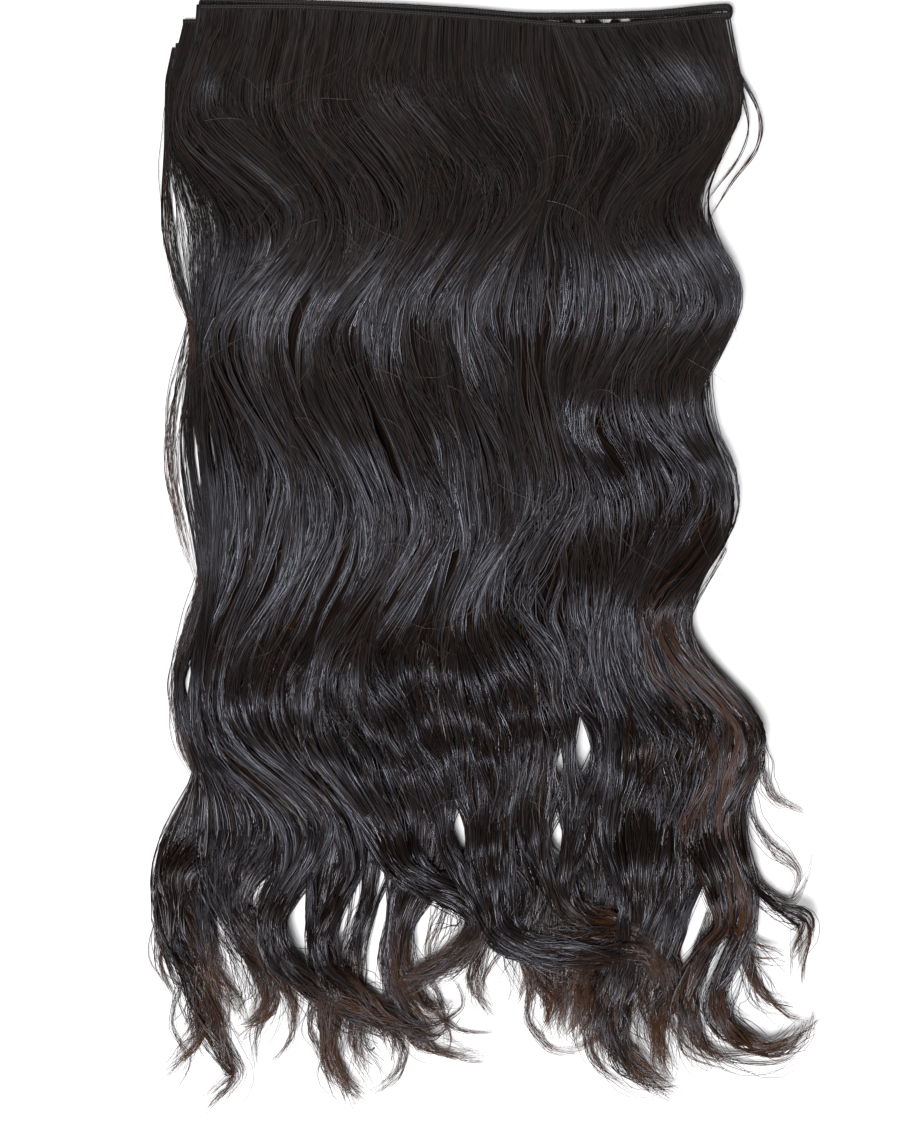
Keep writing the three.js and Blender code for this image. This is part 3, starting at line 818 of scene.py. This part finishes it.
def strandHeight(plan, lock, row, share):
    # the layer's own top in mm, domed over each lock, with swells along the hair
    far, rng, look = plan.far, plan.rng, plan.look
    level = plan.layer["level"]
    upper = level / (pile["layers"] - 1)
    charted = lock.clip(chartedLocks[0], chartedLocks[-1])
    body = smoothStep(row, 60, 190) * (1 - 0.5 * smoothStep(row, 800, 950))
    dome = np.minimum((plan.tressAt * 0.8 + plan.hairAt * 0.2) ** 2, 1.4)[:, None]
    together = mix(*heightLook["together"], smoothStep(lock, 4.6, 5.4)) * (1 - smoothStep(lock, 8.3, 9.1))
    together = together * smoothStep(far, 530, 590) * (1 - smoothStep(far, 800, 860))
    apart = mix(1, heightLook["level"], together)
    staggered = plan.bandShift * plan.free * mix(1, heightLook["stagger"], smoothStep(far, 400, 540)) * apart
    swell = plan.bandSize * lookUp(swellTable, charted, row + staggered)
    curlSize, curlRows = heightLook["curl"]
    phase = plan.perLock(0, 2 * np.pi)[:, None] + plan.bandShift / 30
    curl = curlSize * np.cos(phase + 2 * np.pi * far / curlRows) * smoothStep(far, 640, 800)
    curl = curl * (1 - 0.6 * smoothStep(share, 0.6, 1)) * apart

    top = pileHeight(charted, row) * (level + 1) / pile["layers"]
    top = np.maximum(top, heightLook["endTop"] * smoothStep(row, 780, 880))
    height = top - heightLook["skin"] - look.get("sink", 0) * body
    height = height + body * look["rise"] * (plan.lift - dome)
    height = height + swell * mix(0.45, 1, upper) + curl * mix(0.8, 1, upper)
    height = height - look["depth"] * plan.inDepth * smoothStep(row, 20, 120)
    height = height + wander(rng, plan.each, far, *heightLook["hair"]) * body
    if look["kind"] == "ends":
        height = height - heightLook["endSink"] * (1 - smoothStep(far - plan.start, 0, 180))
    drift = wander(rng, plan.ofTress, far, *heightLook["tress"])
    drift = drift + wander(rng, plan.ofLock, far, *heightLook["lock"])
    height = height + body * drift + glintHeight(lock, row) * mix(0.4, 1, upper)
    height = np.maximum(height, heightLook["skin"] + 0.6 * plan.inDepth)
    if look["kind"] == "ends":
        return height
    # at the root the strands come out of the stitches on the face of the track
    run = runs[look["layer"]]
    face = trackSettings["thick"] / 2 * math.cos(math.radians(run["lean"]))
    return mix(run["z"] + face + 0.3 * plan.inDepth + 0.05, height, smoothStep(far - plan.start, 0, 34))


def strandPaths(look):
    plan = strandPlan(look)
    lock, waved = waveColumn(plan)
    spot, share = endSpots(plan)
    turn = smoothStep(plan.far, plan.begin - endLook["leave"], plan.begin + endLook["leave"])
    row = mix(plan.far, spot[..., 1], turn)
    column = parted(mix(waved, spot[..., 0], turn), row, look["layer"])
    return np.stack([toX(column), toY(row), strandHeight(plan, lock, row, share) * mm], axis=-1)


# browner locks of the face: columns, row and share of the strands that pass there
warmPlaces = [(648, 700, 640, 0.6), (704, 768, 770, 0.6), (180, 238, 800, 0.5)]


def warmStrands(paths, rng):
    warm = np.zeros(len(paths), bool)
    for first, last, row, share in warmPlaces:
        column = np.array([np.interp(-toY(row), -path[:, 1], path[:, 0]) for path in paths])
        warm |= (column > toX(first)) & (column < toX(last)) & (rng.uniform(0, 1, len(paths)) < share)
    return warm


def strandRadii(look, count, steps):
    rng = np.random.default_rng(look["seed"] + 1)
    along = np.linspace(0, 1, steps)[None, :]
    size = strandShape["radius"] * look.get("fine", 1) * rng.uniform(*strandShape["widths"], (count, 1))
    size = size * mix(1, strandShape["tipWidth"], smoothStep(along, 0.8, 1.0))
    if look["kind"] == "ends":
        return size * mix(0.3, 1, smoothStep(along, 0, 0.12))
    return size * mix(0.75, 1, smoothStep(along, 0.02, 0.14))


def fitHair(piece, layer):
    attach(piece, "root")
    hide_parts(f"{layer}_hair")


# the sewn tracks, in mm
trackSettings = {"height": 3.4, "thick": 1.5, "sides": 12, "pieces": 150, "upperFold": 2.1, "lowerFold": 1.6}

for name, look in strandSets.items():
    kind = strandKinds[look["kind"]]
    paths = evenOut(strandPaths(look), kind["steps"])
    radii = strandRadii(look, len(paths), kind["steps"])
    rng = np.random.default_rng(look["seed"] + 2)
    shineOf = rng.integers(0, len(kind["finishes"]), len(paths))
    shines = list(kind["finishes"])
    if look["kind"] == "face":
        shineOf[warmStrands(paths, rng)] = len(shines)
        shines.append("frontWarm")
    for part, shine in enumerate(shines):
        skin = strandSkin(paths[shineOf == part], radii[shineOf == part])
        fitHair(makeMesh(f"{name}{part + 1}", *skin, finishes[shine]), look["layer"])
    print(f"{name}:", len(paths))

# the mat of hair under the strands of each layer: locks at its sides and at the left of its top, how far it
# lies under the layer's top in mm, rows from the track to its start, its last row and its columns of points
matSettings = {
    "front": {"first": 0.3, "last": 11.8, "top": 0.3, "sink": 7.5, "gap": 1.5, "end": 640, "columns": 49},
    "second": {"first": 0.6, "last": 11.6, "top": -0.1, "sink": 4.5, "gap": 3, "end": 646, "columns": 121},
    "third": {"first": 0.9, "last": 11.2, "top": -0.75, "sink": 1.6, "gap": 1.5, "end": 652, "columns": 49},
    "bottom": {"first": 0.9, "last": 11.2, "top": -0.85, "sink": 1.4, "gap": 1.5, "end": 650, "columns": 49},
}
matRows = 40
matThick = 0.4    # least, in mm

# pale slits under the second run, where the floor shows: column and half width
rootSlits = [(551, 3.5), (573, 2.5), (600, 1.5), (617, 2)]


def closedSheet(upper, lower):
    # one closed skin over an upper and a lower grid of points
    down, across = upper.shape[:2]
    count = down * across
    index = np.arange(count).reshape(down, across)
    top = np.stack([index[:-1, :-1], index[1:, :-1], index[1:, 1:], index[:-1, 1:]], axis=-1).reshape(-1, 4)
    rim = np.concatenate([index[0, :-1], index[:-1, -1], index[-1, :0:-1], index[:0:-1, 0]])
    rimNext = np.roll(rim, -1)
    wall = np.stack([rim, rimNext, rimNext + count, rim + count], axis=-1)
    faces = np.vstack([top, top[:, ::-1] + count, wall])
    along, strand = np.meshgrid(np.linspace(0, 0.85, down), np.linspace(0, 1, across), indexing="ij")
    flat = np.tile(np.stack([along.ravel(), strand.ravel()], axis=-1), (2, 1))
    return np.vstack([upper.reshape(-1, 3), lower.reshape(-1, 3)]), faces, flat[faces.ravel()]


def hairMat(name):
    look = matSettings[name]
    level, calm = layers[name]["level"], layers[name]["calm"]
    across, share = np.meshgrid(np.linspace(0, 1, look["columns"]), np.linspace(0, 1, matRows))
    ragged = look["end"] + 8 * np.sin(across * 50 + level) + 6 * np.sin(across * 23)
    first = mix(look["top"], look["first"], smoothStep(share, 0.13, 0.24))
    lock = mix(first, look["last"], across)
    rootColumn = flowColumn(lock, chart["rootRow"])
    rootRow = runRow(name, rootColumn) + look["gap"]
    for column, half in rootSlits if name == "second" else ():
        rootRow = rootRow + 8 * (1 - smoothStep(np.abs(rootColumn - column), half, half + 3))
    row = mix(rootRow, ragged, share)
    edge = np.minimum(smoothStep(across, 0, 0.04), 1 - smoothStep(across, 0.96, 1))
    edge = np.minimum(edge, 1 - smoothStep(row, ragged - 60, ragged))
    body = smoothStep(row, 60, 190)
    span = pileHeight(lock, row)
    high = span * (level + 1) / pile["layers"] + lookUp(swellTable, lock, row) * (level + 1) / 6
    high = high - mix(1.2, look["sink"], body)
    high = mix(runs[name]["z"] - 1.9, high, smoothStep(row - rootRow, 0, 40))
    low = np.maximum(span * level / pile["layers"] - 1, 0.1)
    high = mix(low + matThick, np.maximum(high, low + matThick), mix(0.4, 1, edge))
    upper = np.stack([toX(flowColumn(lock, row, calm)), toY(row), high * mm], axis=-1)
    lower = upper.copy()
    lower[..., 2] = np.minimum(low, high - 0.3) * mm
    return closedSheet(upper, lower)


for name in matSettings:
    fitHair(makeMesh(f"{name}Mat", *hairMat(name), finishes["mat"]), name)
print("mats made")

# single thin locks away from the rest: hairs, spread in columns, height at each end in mm, then columns and
# rows of points along them
wisps = [
    (9, 2.2, 9.0, 6.0, (724, 45), (742, 76), (761, 114), (758, 146), (735, 178), (706, 224)),
    (6, 1.6, 8.0, 5.0, (732, 50), (745, 98), (749, 130), (737, 160), (709, 198), (696, 230)),
    (6, 2.0, 8.0, 5.0, (727, 548), (712, 578), (699, 602), (690, 628), (700, 655)),
    (8, 5.0, 2.5, 2.0, (176, 60), (166, 120), (163, 200), (174, 280), (190, 330), (184, 400)),
    (20, 9.0, 2.0, 2.0, (192, 320), (176, 390), (169, 455), (178, 520), (198, 595)),
    (20, 9.0, 2.0, 2.0, (201, 580), (184, 640), (174, 690), (181, 745), (196, 785), (186, 820)),
    (16, 7.0, 6.0, 3.0, (758, 725), (767, 772), (777, 798), (812, 816)),
    (14, 9.0, 6.0, 3.0, (750, 780), (757, 822), (777, 850), (800, 876), (794, 907)),
    (10, 7.0, 6.0, 3.0, (738, 800), (744, 850), (762, 888), (793, 906), (811, 878), (816, 856)),
    (6, 4.0, 6.0, 3.0, (744, 840), (752, 880), (778, 912), (800, 932), (806, 958)),
    (5, 3.0, 4.0, 2.0, (700, 1010), (712, 1050), (742, 1066), (790, 1062), (820, 1022)),
    (5, 4.0, 3.0, 1.5, (178, 985), (170, 1030), (186, 1062), (176, 1090), (166, 1098)),
    (5, 3.0, 4.0, 1.5, (392, 990), (418, 1030), (462, 1012), (448, 976), (424, 972)),
    (5, 3.0, 4.0, 1.5, (236, 1072), (226, 1092), (212, 1106), (200, 1118)),
    (5, 4.0, 6.0, 3.0, (640, 938), (668, 930), (690, 915), (694, 880)),
    (14, 6.0, 4.0, 1.5, (606, 960), (600, 1005), (590, 1040), (604, 1074), (638, 1094)),
    (12, 6.0, 3.0, 1.5, (538, 960), (530, 1000), (530, 1026), (550, 1053), (584, 1058)),
    (12, 6.0, 4.0, 1.5, (648, 960), (640, 992), (618, 1025), (582, 1049), (562, 1050)),
    (8, 4.0, 3.0, 1.5, (534, 915), (517, 936), (499, 956), (484, 984), (480, 1006)),
    (10, 5.0, 3.0, 1.0, (276, 970), (271, 1002), (259, 1030), (255, 1058), (258, 1082)),
    (12, 5.0, 3.0, 1.0, (314, 970), (311, 1003), (307, 1032), (316, 1050), (329, 1077), (333, 1090)),
    (14, 6.0, 5.0, 1.5, (380, 1000), (396, 1036), (402, 1064), (388, 1086), (362, 1102)),
    (8, 5.0, 4.0, 1.0, (424, 975), (437, 1000), (446, 1026), (449, 1048), (440, 1062)),
    (8, 5.0, 4.0, 1.0, (404, 972), (418, 990), (444, 1024), (469, 1036), (502, 1036)),
    (8, 5.0, 4.0, 1.5, (492, 925), (484, 952), (476, 981), (484, 1009), (502, 1026)),
    (10, 5.0, 3.0, 1.0, (272, 975), (286, 1003), (291, 1036), (277, 1060), (263, 1066)),
    (14, 14.0, 3.0, 1.5, (286, 850), (273, 880), (263, 910), (265, 945), (281, 985)),
    (18, 18.0, 3.0, 1.5, (353, 850), (350, 890), (339, 925), (333, 955), (350, 995)),
    (12, 12.0, 3.0, 1.5, (405, 880), (402, 915), (394, 950), (380, 985)),
    (18, 16.0, 3.0, 1.5, (462, 850), (450, 890), (440, 925), (430, 955), (438, 990)),
    (10, 6.0, 4.0, 1.5, (712, 915), (696, 966), (687, 1000), (703, 1045), (728, 1058), (792, 1049),
     (816, 1016)),
]
wispLook = {"seed": 5, "radius": 0.00013, "steps": 32, "rows": 300, "drift": (3.2, 210), "least": 0.4}


def wispPaths():
    rng = np.random.default_rng(wispLook["seed"])
    dense = strandShape["dense"]
    rows = np.linspace(0, wispLook["rows"], dense)[None, :]
    widest, length = wispLook["drift"]
    made = []
    for hairs, spread, z0, z1, *points in wisps:
        curve, _ = curveThrough(points, dense)
        heading = np.gradient(curve, axis=0)
        heading /= np.linalg.norm(heading, axis=1, keepdims=True) + 1e-9
        across = np.stack([-heading[:, 1], heading[:, 0]], axis=1)
        off = rng.normal(0, spread * 0.5, (hairs, 1))
        off = off + wander(rng, np.arange(hairs), rows, min(spread * 0.5, widest), length)
        off = off * mix(1, 0.45, smoothStep(rows, 150, 300))
        for i in range(hairs):
            path = curve + across * off[i][:, None]
            z = np.linspace(z0, z1, dense) + rng.uniform(-0.5, 0.5)
            cut = int(dense * rng.uniform(0.75, 1.0))
            path = np.stack([toX(path[:, 0]), toY(path[:, 1]), np.maximum(z, wispLook["least"]) * mm], axis=1)
            made.append(readAt(np.linspace(0, cut - 1, dense), np.arange(cut), path[:cut]))
    return np.array(made)


# curved hairs that cross the others on the face of the weft; reach in rows, lift in mm
strays = {
    "count": 240, "seed": 71, "radius": 0.000065, "steps": 15, "dense": 60, "reach": (25, 110), "lift": 0.9,
}


def strayPaths():
    rng = np.random.default_rng(strays["seed"])
    count, dense = strays["count"], strays["dense"]
    reach = rng.uniform(*strays["reach"], (count, 1))
    along = np.linspace(0, 1, dense)[None, :]
    bend = rng.normal(0, 1.1, (count, 1))
    heading = rng.normal(0, 0.55, (count, 1)) + bend * (along - 0.5)
    heading = heading + 0.5 * np.sin(3 * along + rng.uniform(0, 6, (count, 1)))
    first = 20 + 790 * rng.uniform(0, 1, (count, 1)) ** 0.85
    row = first + np.cumsum(np.cos(heading), axis=1) * reach / dense
    column = flowColumn(rng.uniform(0.3, 11.7, (count, 1)), first)
    column = column + np.cumsum(np.sin(heading), axis=1) * reach / dense
    at = np.clip((row - rowGrid[0]) / chart["rows"][2], 0, len(rowGrid) - 1).astype(int)
    charted = np.maximum.accumulate(flowTable[:, at], axis=0)
    lock = np.empty(row.shape)
    for i, k in np.ndindex(lock.shape):
        lock[i, k] = np.interp(column[i, k], charted[:, i, k], chartedLocks)
    lock = np.clip(lock, 0, chartedLocks[-1])
    z = pileHeight(lock, row) + lookUp(swellTable, lock, row) + 1.4 * smoothStep(row, 60, 190)
    z = z + strays["lift"] * rng.uniform(0, 1, (count, 1))
    return np.stack([toX(column), toY(row), z * mm], axis=-1)


def looseHair(name, paths, look, finish):
    paths = evenOut(paths, look["steps"])
    taper = mix(1, 0.4, smoothStep(np.linspace(0, 1, look["steps"]), 0.7, 1))
    radii = np.broadcast_to(look["radius"] * taper, paths.shape[:2])
    piece = makeMesh(name, *strandSkin(paths, radii), finishes[finish])
    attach(piece, "root")
    print(f"{name}:", len(paths))


looseHair("wisps", wispPaths(), wispLook, "loose")
looseHair("strays", strayPaths(), strays, "stray")

# thread on the tracks, in mm: loops across the face, and rows along it as shares of half the height
stitchSettings = {
    "seed": 3, "pitch": 1.35, "thread": 0.42, "proud": 0.14, "slant": 0.35, "rows": (0.2, 0.72),
    "rowThread": 0.3, "rowProud": 0.02, "rowPoints": 260, "clear": 0.02,
}


def trackLine(upper, lower, foldOut):
    # the middle of a folded track, with the ways ahead, up and out of its face
    def line(run):
        ends = runs[run]["line"]
        columns = np.linspace(ends[0][0], ends[-1][0], trackSettings["pieces"])
        z = np.full(len(columns), runs[run]["z"])
        return np.stack([toX(columns) / mm, toY(runRow(run, columns)) / mm, z], axis=1)

    go, back = line(upper), line(lower)[::-1]
    share = np.linspace(0, 1, 14)[1:-1]
    fold = mix(go[-1], back[0], ((1 - np.cos(np.pi * share)) / 2)[:, None])
    fold[:, 0] += foldOut * np.sin(np.pi * share)
    spots = np.vstack([go, fold, back])
    ahead = np.gradient(spots, axis=0)
    ahead /= np.linalg.norm(ahead, axis=1, keepdims=True)
    lean = math.radians(runs[upper]["lean"])
    up = np.array([0.0, math.cos(lean), math.sin(lean)])
    up = up - ahead * (ahead @ up)[:, None]
    up /= np.linalg.norm(up, axis=1, keepdims=True)
    return spots, up, np.cross(ahead, up)


def trackBody(spots, up, face):
    # a band with rounded edges and closed ends
    sides = trackSettings["sides"]
    turn = 2 * np.pi * np.arange(sides) / sides
    high = np.sign(np.sin(turn)) * np.abs(np.sin(turn)) ** 0.6 * trackSettings["height"] / 2
    thick = np.sign(np.cos(turn)) * np.abs(np.cos(turn)) ** 0.6 * trackSettings["thick"] / 2
    corners = spots[:, None] + up[:, None] * high[None, :, None] + face[:, None] * thick[None, :, None]
    index = np.arange(len(spots) * sides).reshape(len(spots), sides)
    nextSide = np.roll(index, -1, axis=1)
    faces = np.stack([index[:-1], nextSide[:-1], nextSide[1:], index[1:]], axis=-1).reshape(-1, 4)
    caps = []
    for k in range(1, sides // 2):
        caps.append([index[0, k - 1], index[0, sides - k], index[0, sides - k - 1], index[0, k]])
        caps.append([index[-1, k], index[-1, sides - k - 1], index[-1, sides - k], index[-1, k - 1]])
    faces = np.vstack([faces, np.array(caps)])
    run = runLength(spots)
    along = np.broadcast_to((run / run[-1])[:, None], index.shape)
    around = np.broadcast_to(np.arange(sides) / sides, index.shape)
    flat = np.stack([along, around], axis=-1).reshape(-1, 2)
    return corners.reshape(-1, 3) * mm, faces, flat[faces.ravel()]


def stitchPaths(spots, up, face):
    # loops of thread over both faces of the track, side by side, and rows of thread along it
    run = runLength(spots)
    pitch = stitchSettings["pitch"]
    at = np.arange(pitch, run[-1] - pitch, pitch)[:, None]
    rng = np.random.default_rng(stitchSettings["seed"])

    def onTrack(place, high, out):
        spot = readAt(place, run, spots) + readAt(place, run, up) * high[..., None]
        return spot + readAt(place, run, face) * out[..., None]

    loops = []
    rows = []
    share = np.linspace(-1, 1, 5)[None, :]
    out = (1 - np.abs(share) ** 3) * trackSettings["thick"] / 2 + stitchSettings["proud"]
    along = np.linspace(0, run[-1], stitchSettings["rowPoints"])
    rowOut = np.full(len(along), trackSettings["thick"] / 2 + stitchSettings["rowProud"])
    for side in (1, -1):
        place = at + stitchSettings["slant"] * pitch * share + rng.uniform(-0.15, 0.15, at.shape)
        high = share * trackSettings["height"] / 2 * rng.uniform(0.9, 1.02, at.shape)
        loops.append(onTrack(place, high, side * out))
        for level in stitchSettings["rows"]:
            rowHigh = np.full(len(along), level * trackSettings["height"] / 2)
            rows.append(onTrack(along, rowHigh, side * rowOut))
    return np.concatenate(loops) * mm, np.array(rows) * mm


# finishes of the tracks: colours between which noise drawn out along the piece mixes
trackLook = {
    "dark": (0.003, 0.0024, 0.0022, 1), "pale": (0.012, 0.010, 0.009, 1), "scale": (1200.0, 6.0, 1.0),
    "detail": 3.0, "roughness": 0.7, "shine": 0.12, "bump": 0.7, "bumpDepth": 0.0003,
}
threadLook = {
    "dark": (0.010, 0.009, 0.0088, 1), "pale": (0.078, 0.070, 0.068, 1), "scale": (12.0, 260.0, 1.0),
    "detail": 2.0, "roughness": 0.6, "shine": 0.3,
}


def fibreGrainGroup():
    group, given, out = newGroup("fibreGrain", {
        "Place": "NodeSocketVector", "Scale": "NodeSocketVector", "Detail": "NodeSocketFloat",
    }, {"Grain": "NodeSocketFloat"})
    drawn = addNode(group, "ShaderNodeMapping", {"Vector": given["Place"], "Scale": given["Scale"]})
    noise = addNode(group, "ShaderNodeTexNoise", {
        "Vector": drawn.outputs[0], "Scale": 1.0, "Detail": given["Detail"],
    })
    group.links.new(noise.outputs["Fac"], out["Grain"])
    return group


fibreGrain = fibreGrainGroup()


def sewnFinish(name, look):
    material, tree, shader = newMaterial(name)
    flat = addNode(tree, "ShaderNodeUVMap", uv_map="OFBake")
    grain = addNode(tree, "ShaderNodeGroup", node_tree=fibreGrain)
    tree.links.new(flat.outputs["UV"], grain.inputs["Place"])
    grain.inputs["Scale"].default_value = look["scale"]
    grain.inputs["Detail"].default_value = look["detail"]
    tone = blended(tree, grain.outputs["Grain"], look["dark"], look["pale"])
    tree.links.new(tone, shader.inputs["Base Color"])
    shader.inputs["Roughness"].default_value = look["roughness"]
    shader.inputs["Specular IOR Level"].default_value = look["shine"]
    if "bump" in look:
        bump = addNode(tree, "ShaderNodeBump", {
            "Strength": look["bump"], "Distance": look["bumpDepth"], "Height": grain.outputs["Grain"],
        })
        tree.links.new(bump.outputs["Normal"], shader.inputs["Normal"])
    return material


sewnHair = sewnFinish("sewnHair", trackLook)
sewingThread = sewnFinish("sewingThread", threadLook)
for name, upper, lower in (("upper", "front", "second"), ("lower", "third", "bottom")):
    spots, up, face = trackLine(upper, lower, trackSettings[name + "Fold"])
    body = makeMesh(f"{name}TrackBody", *trackBody(spots, up, face), sewnHair)
    pieces = [body]
    loops, rows = stitchPaths(spots, up, face)
    for part, paths, thread in (("Loops", loops, "thread"), ("Seams", rows, "rowThread")):
        radius = stitchSettings[thread] / 2 * mm
        paths[..., 2] = np.maximum(paths[..., 2], radius + stitchSettings["clear"] * mm)
        pieces.append(makeMesh(f"{name}Track{part}", *threadSkin(paths, radius), sewingThread))
    for piece in pieces:
        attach(piece, "root")
        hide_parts(f"{name}_track")
print("tracks sewn")

# floor, light and camera
stageLook = {
    "floor": (0.93, 0.93, 0.93), "size": 6.0, "drop": 0.0002, "roughness": 0.9, "shine": 0.1,
    "sky": (0.95, 0.97, 1.0), "skyStrength": 0.08,
}
target = Vector((0.0, -0.23, 0.0))
# one large soft light: turn toward the roots and toward the left in degrees, metres, watts and tint
keyLight = {
    "toRoots": -15, "toLeft": 8, "distance": 5.0, "size": 1.8, "watts": 350, "tint": (1.0, 0.995, 1.01),
}
cameraLook = {"lens": 85.0, "sensor": 36.0, "level": 0.012, "column": 450, "row": 562.5, "rows": 1125}


def makeFloor():
    half = stageLook["size"] / 2
    square = np.array([(-1, -1), (1, -1), (1, 1), (-1, 1)], float)
    corners = np.column_stack([square * half, np.full(4, -stageLook["drop"])])
    material, _, shader = newMaterial("paleFloor")
    shader.inputs["Base Color"].default_value = (*stageLook["floor"], 1)
    shader.inputs["Roughness"].default_value = stageLook["roughness"]
    shader.inputs["Specular IOR Level"].default_value = stageLook["shine"]
    floor = makeMesh("floor", corners, np.array([[0, 1, 2, 3]]), (square + 1) / 2, material)


def makeLight():
    lamp = bpy.data.lights.new("keyBox", "AREA")
    lamp.shape = "SQUARE"
    lamp.size = keyLight["size"]
    lamp.energy = keyLight["watts"]
    lamp.color = keyLight["tint"]
    toLeft = math.tan(math.radians(keyLight["toLeft"]))
    toRoots = math.tan(math.radians(keyLight["toRoots"]))
    aim = Vector((-toLeft, toRoots, 1)).normalized()
    holder = bpy.data.objects.new("keyBox", lamp)
    holder.location = target + aim * keyLight["distance"]
    holder.rotation_euler = aim.to_track_quat("Z", "Y").to_euler()
    bpy.context.scene.collection.objects.link(holder)


def makeSky():
    world = bpy.data.worlds.new("studio")
    world.use_nodes = True
    sky = world.node_tree.nodes["Background"]
    sky.inputs["Color"].default_value = (*stageLook["sky"], 1)
    sky.inputs["Strength"].default_value = stageLook["skyStrength"]
    bpy.context.scene.world = world
    bpy.context.scene.view_settings.view_transform = "Standard"
    bpy.context.scene.view_settings.look = "None"


def makeCamera():
    # straight above, as far away as the picture's rows need
    eye = bpy.data.cameras.new("camera")
    eye.lens = cameraLook["lens"]
    eye.sensor_width = cameraLook["sensor"]
    eye.dof.use_dof = False
    holder = bpy.data.objects.new("camera", eye)
    tall = cameraLook["rows"] * chart["step"]
    away = tall * eye.lens / eye.sensor_width
    holder.location = (toX(cameraLook["column"]), toY(cameraLook["row"]), cameraLook["level"] + away)
    bpy.context.scene.collection.objects.link(holder)
    bpy.context.scene.camera = holder


makeFloor()
makeLight()
makeSky()
makeCamera()
print("stage set")
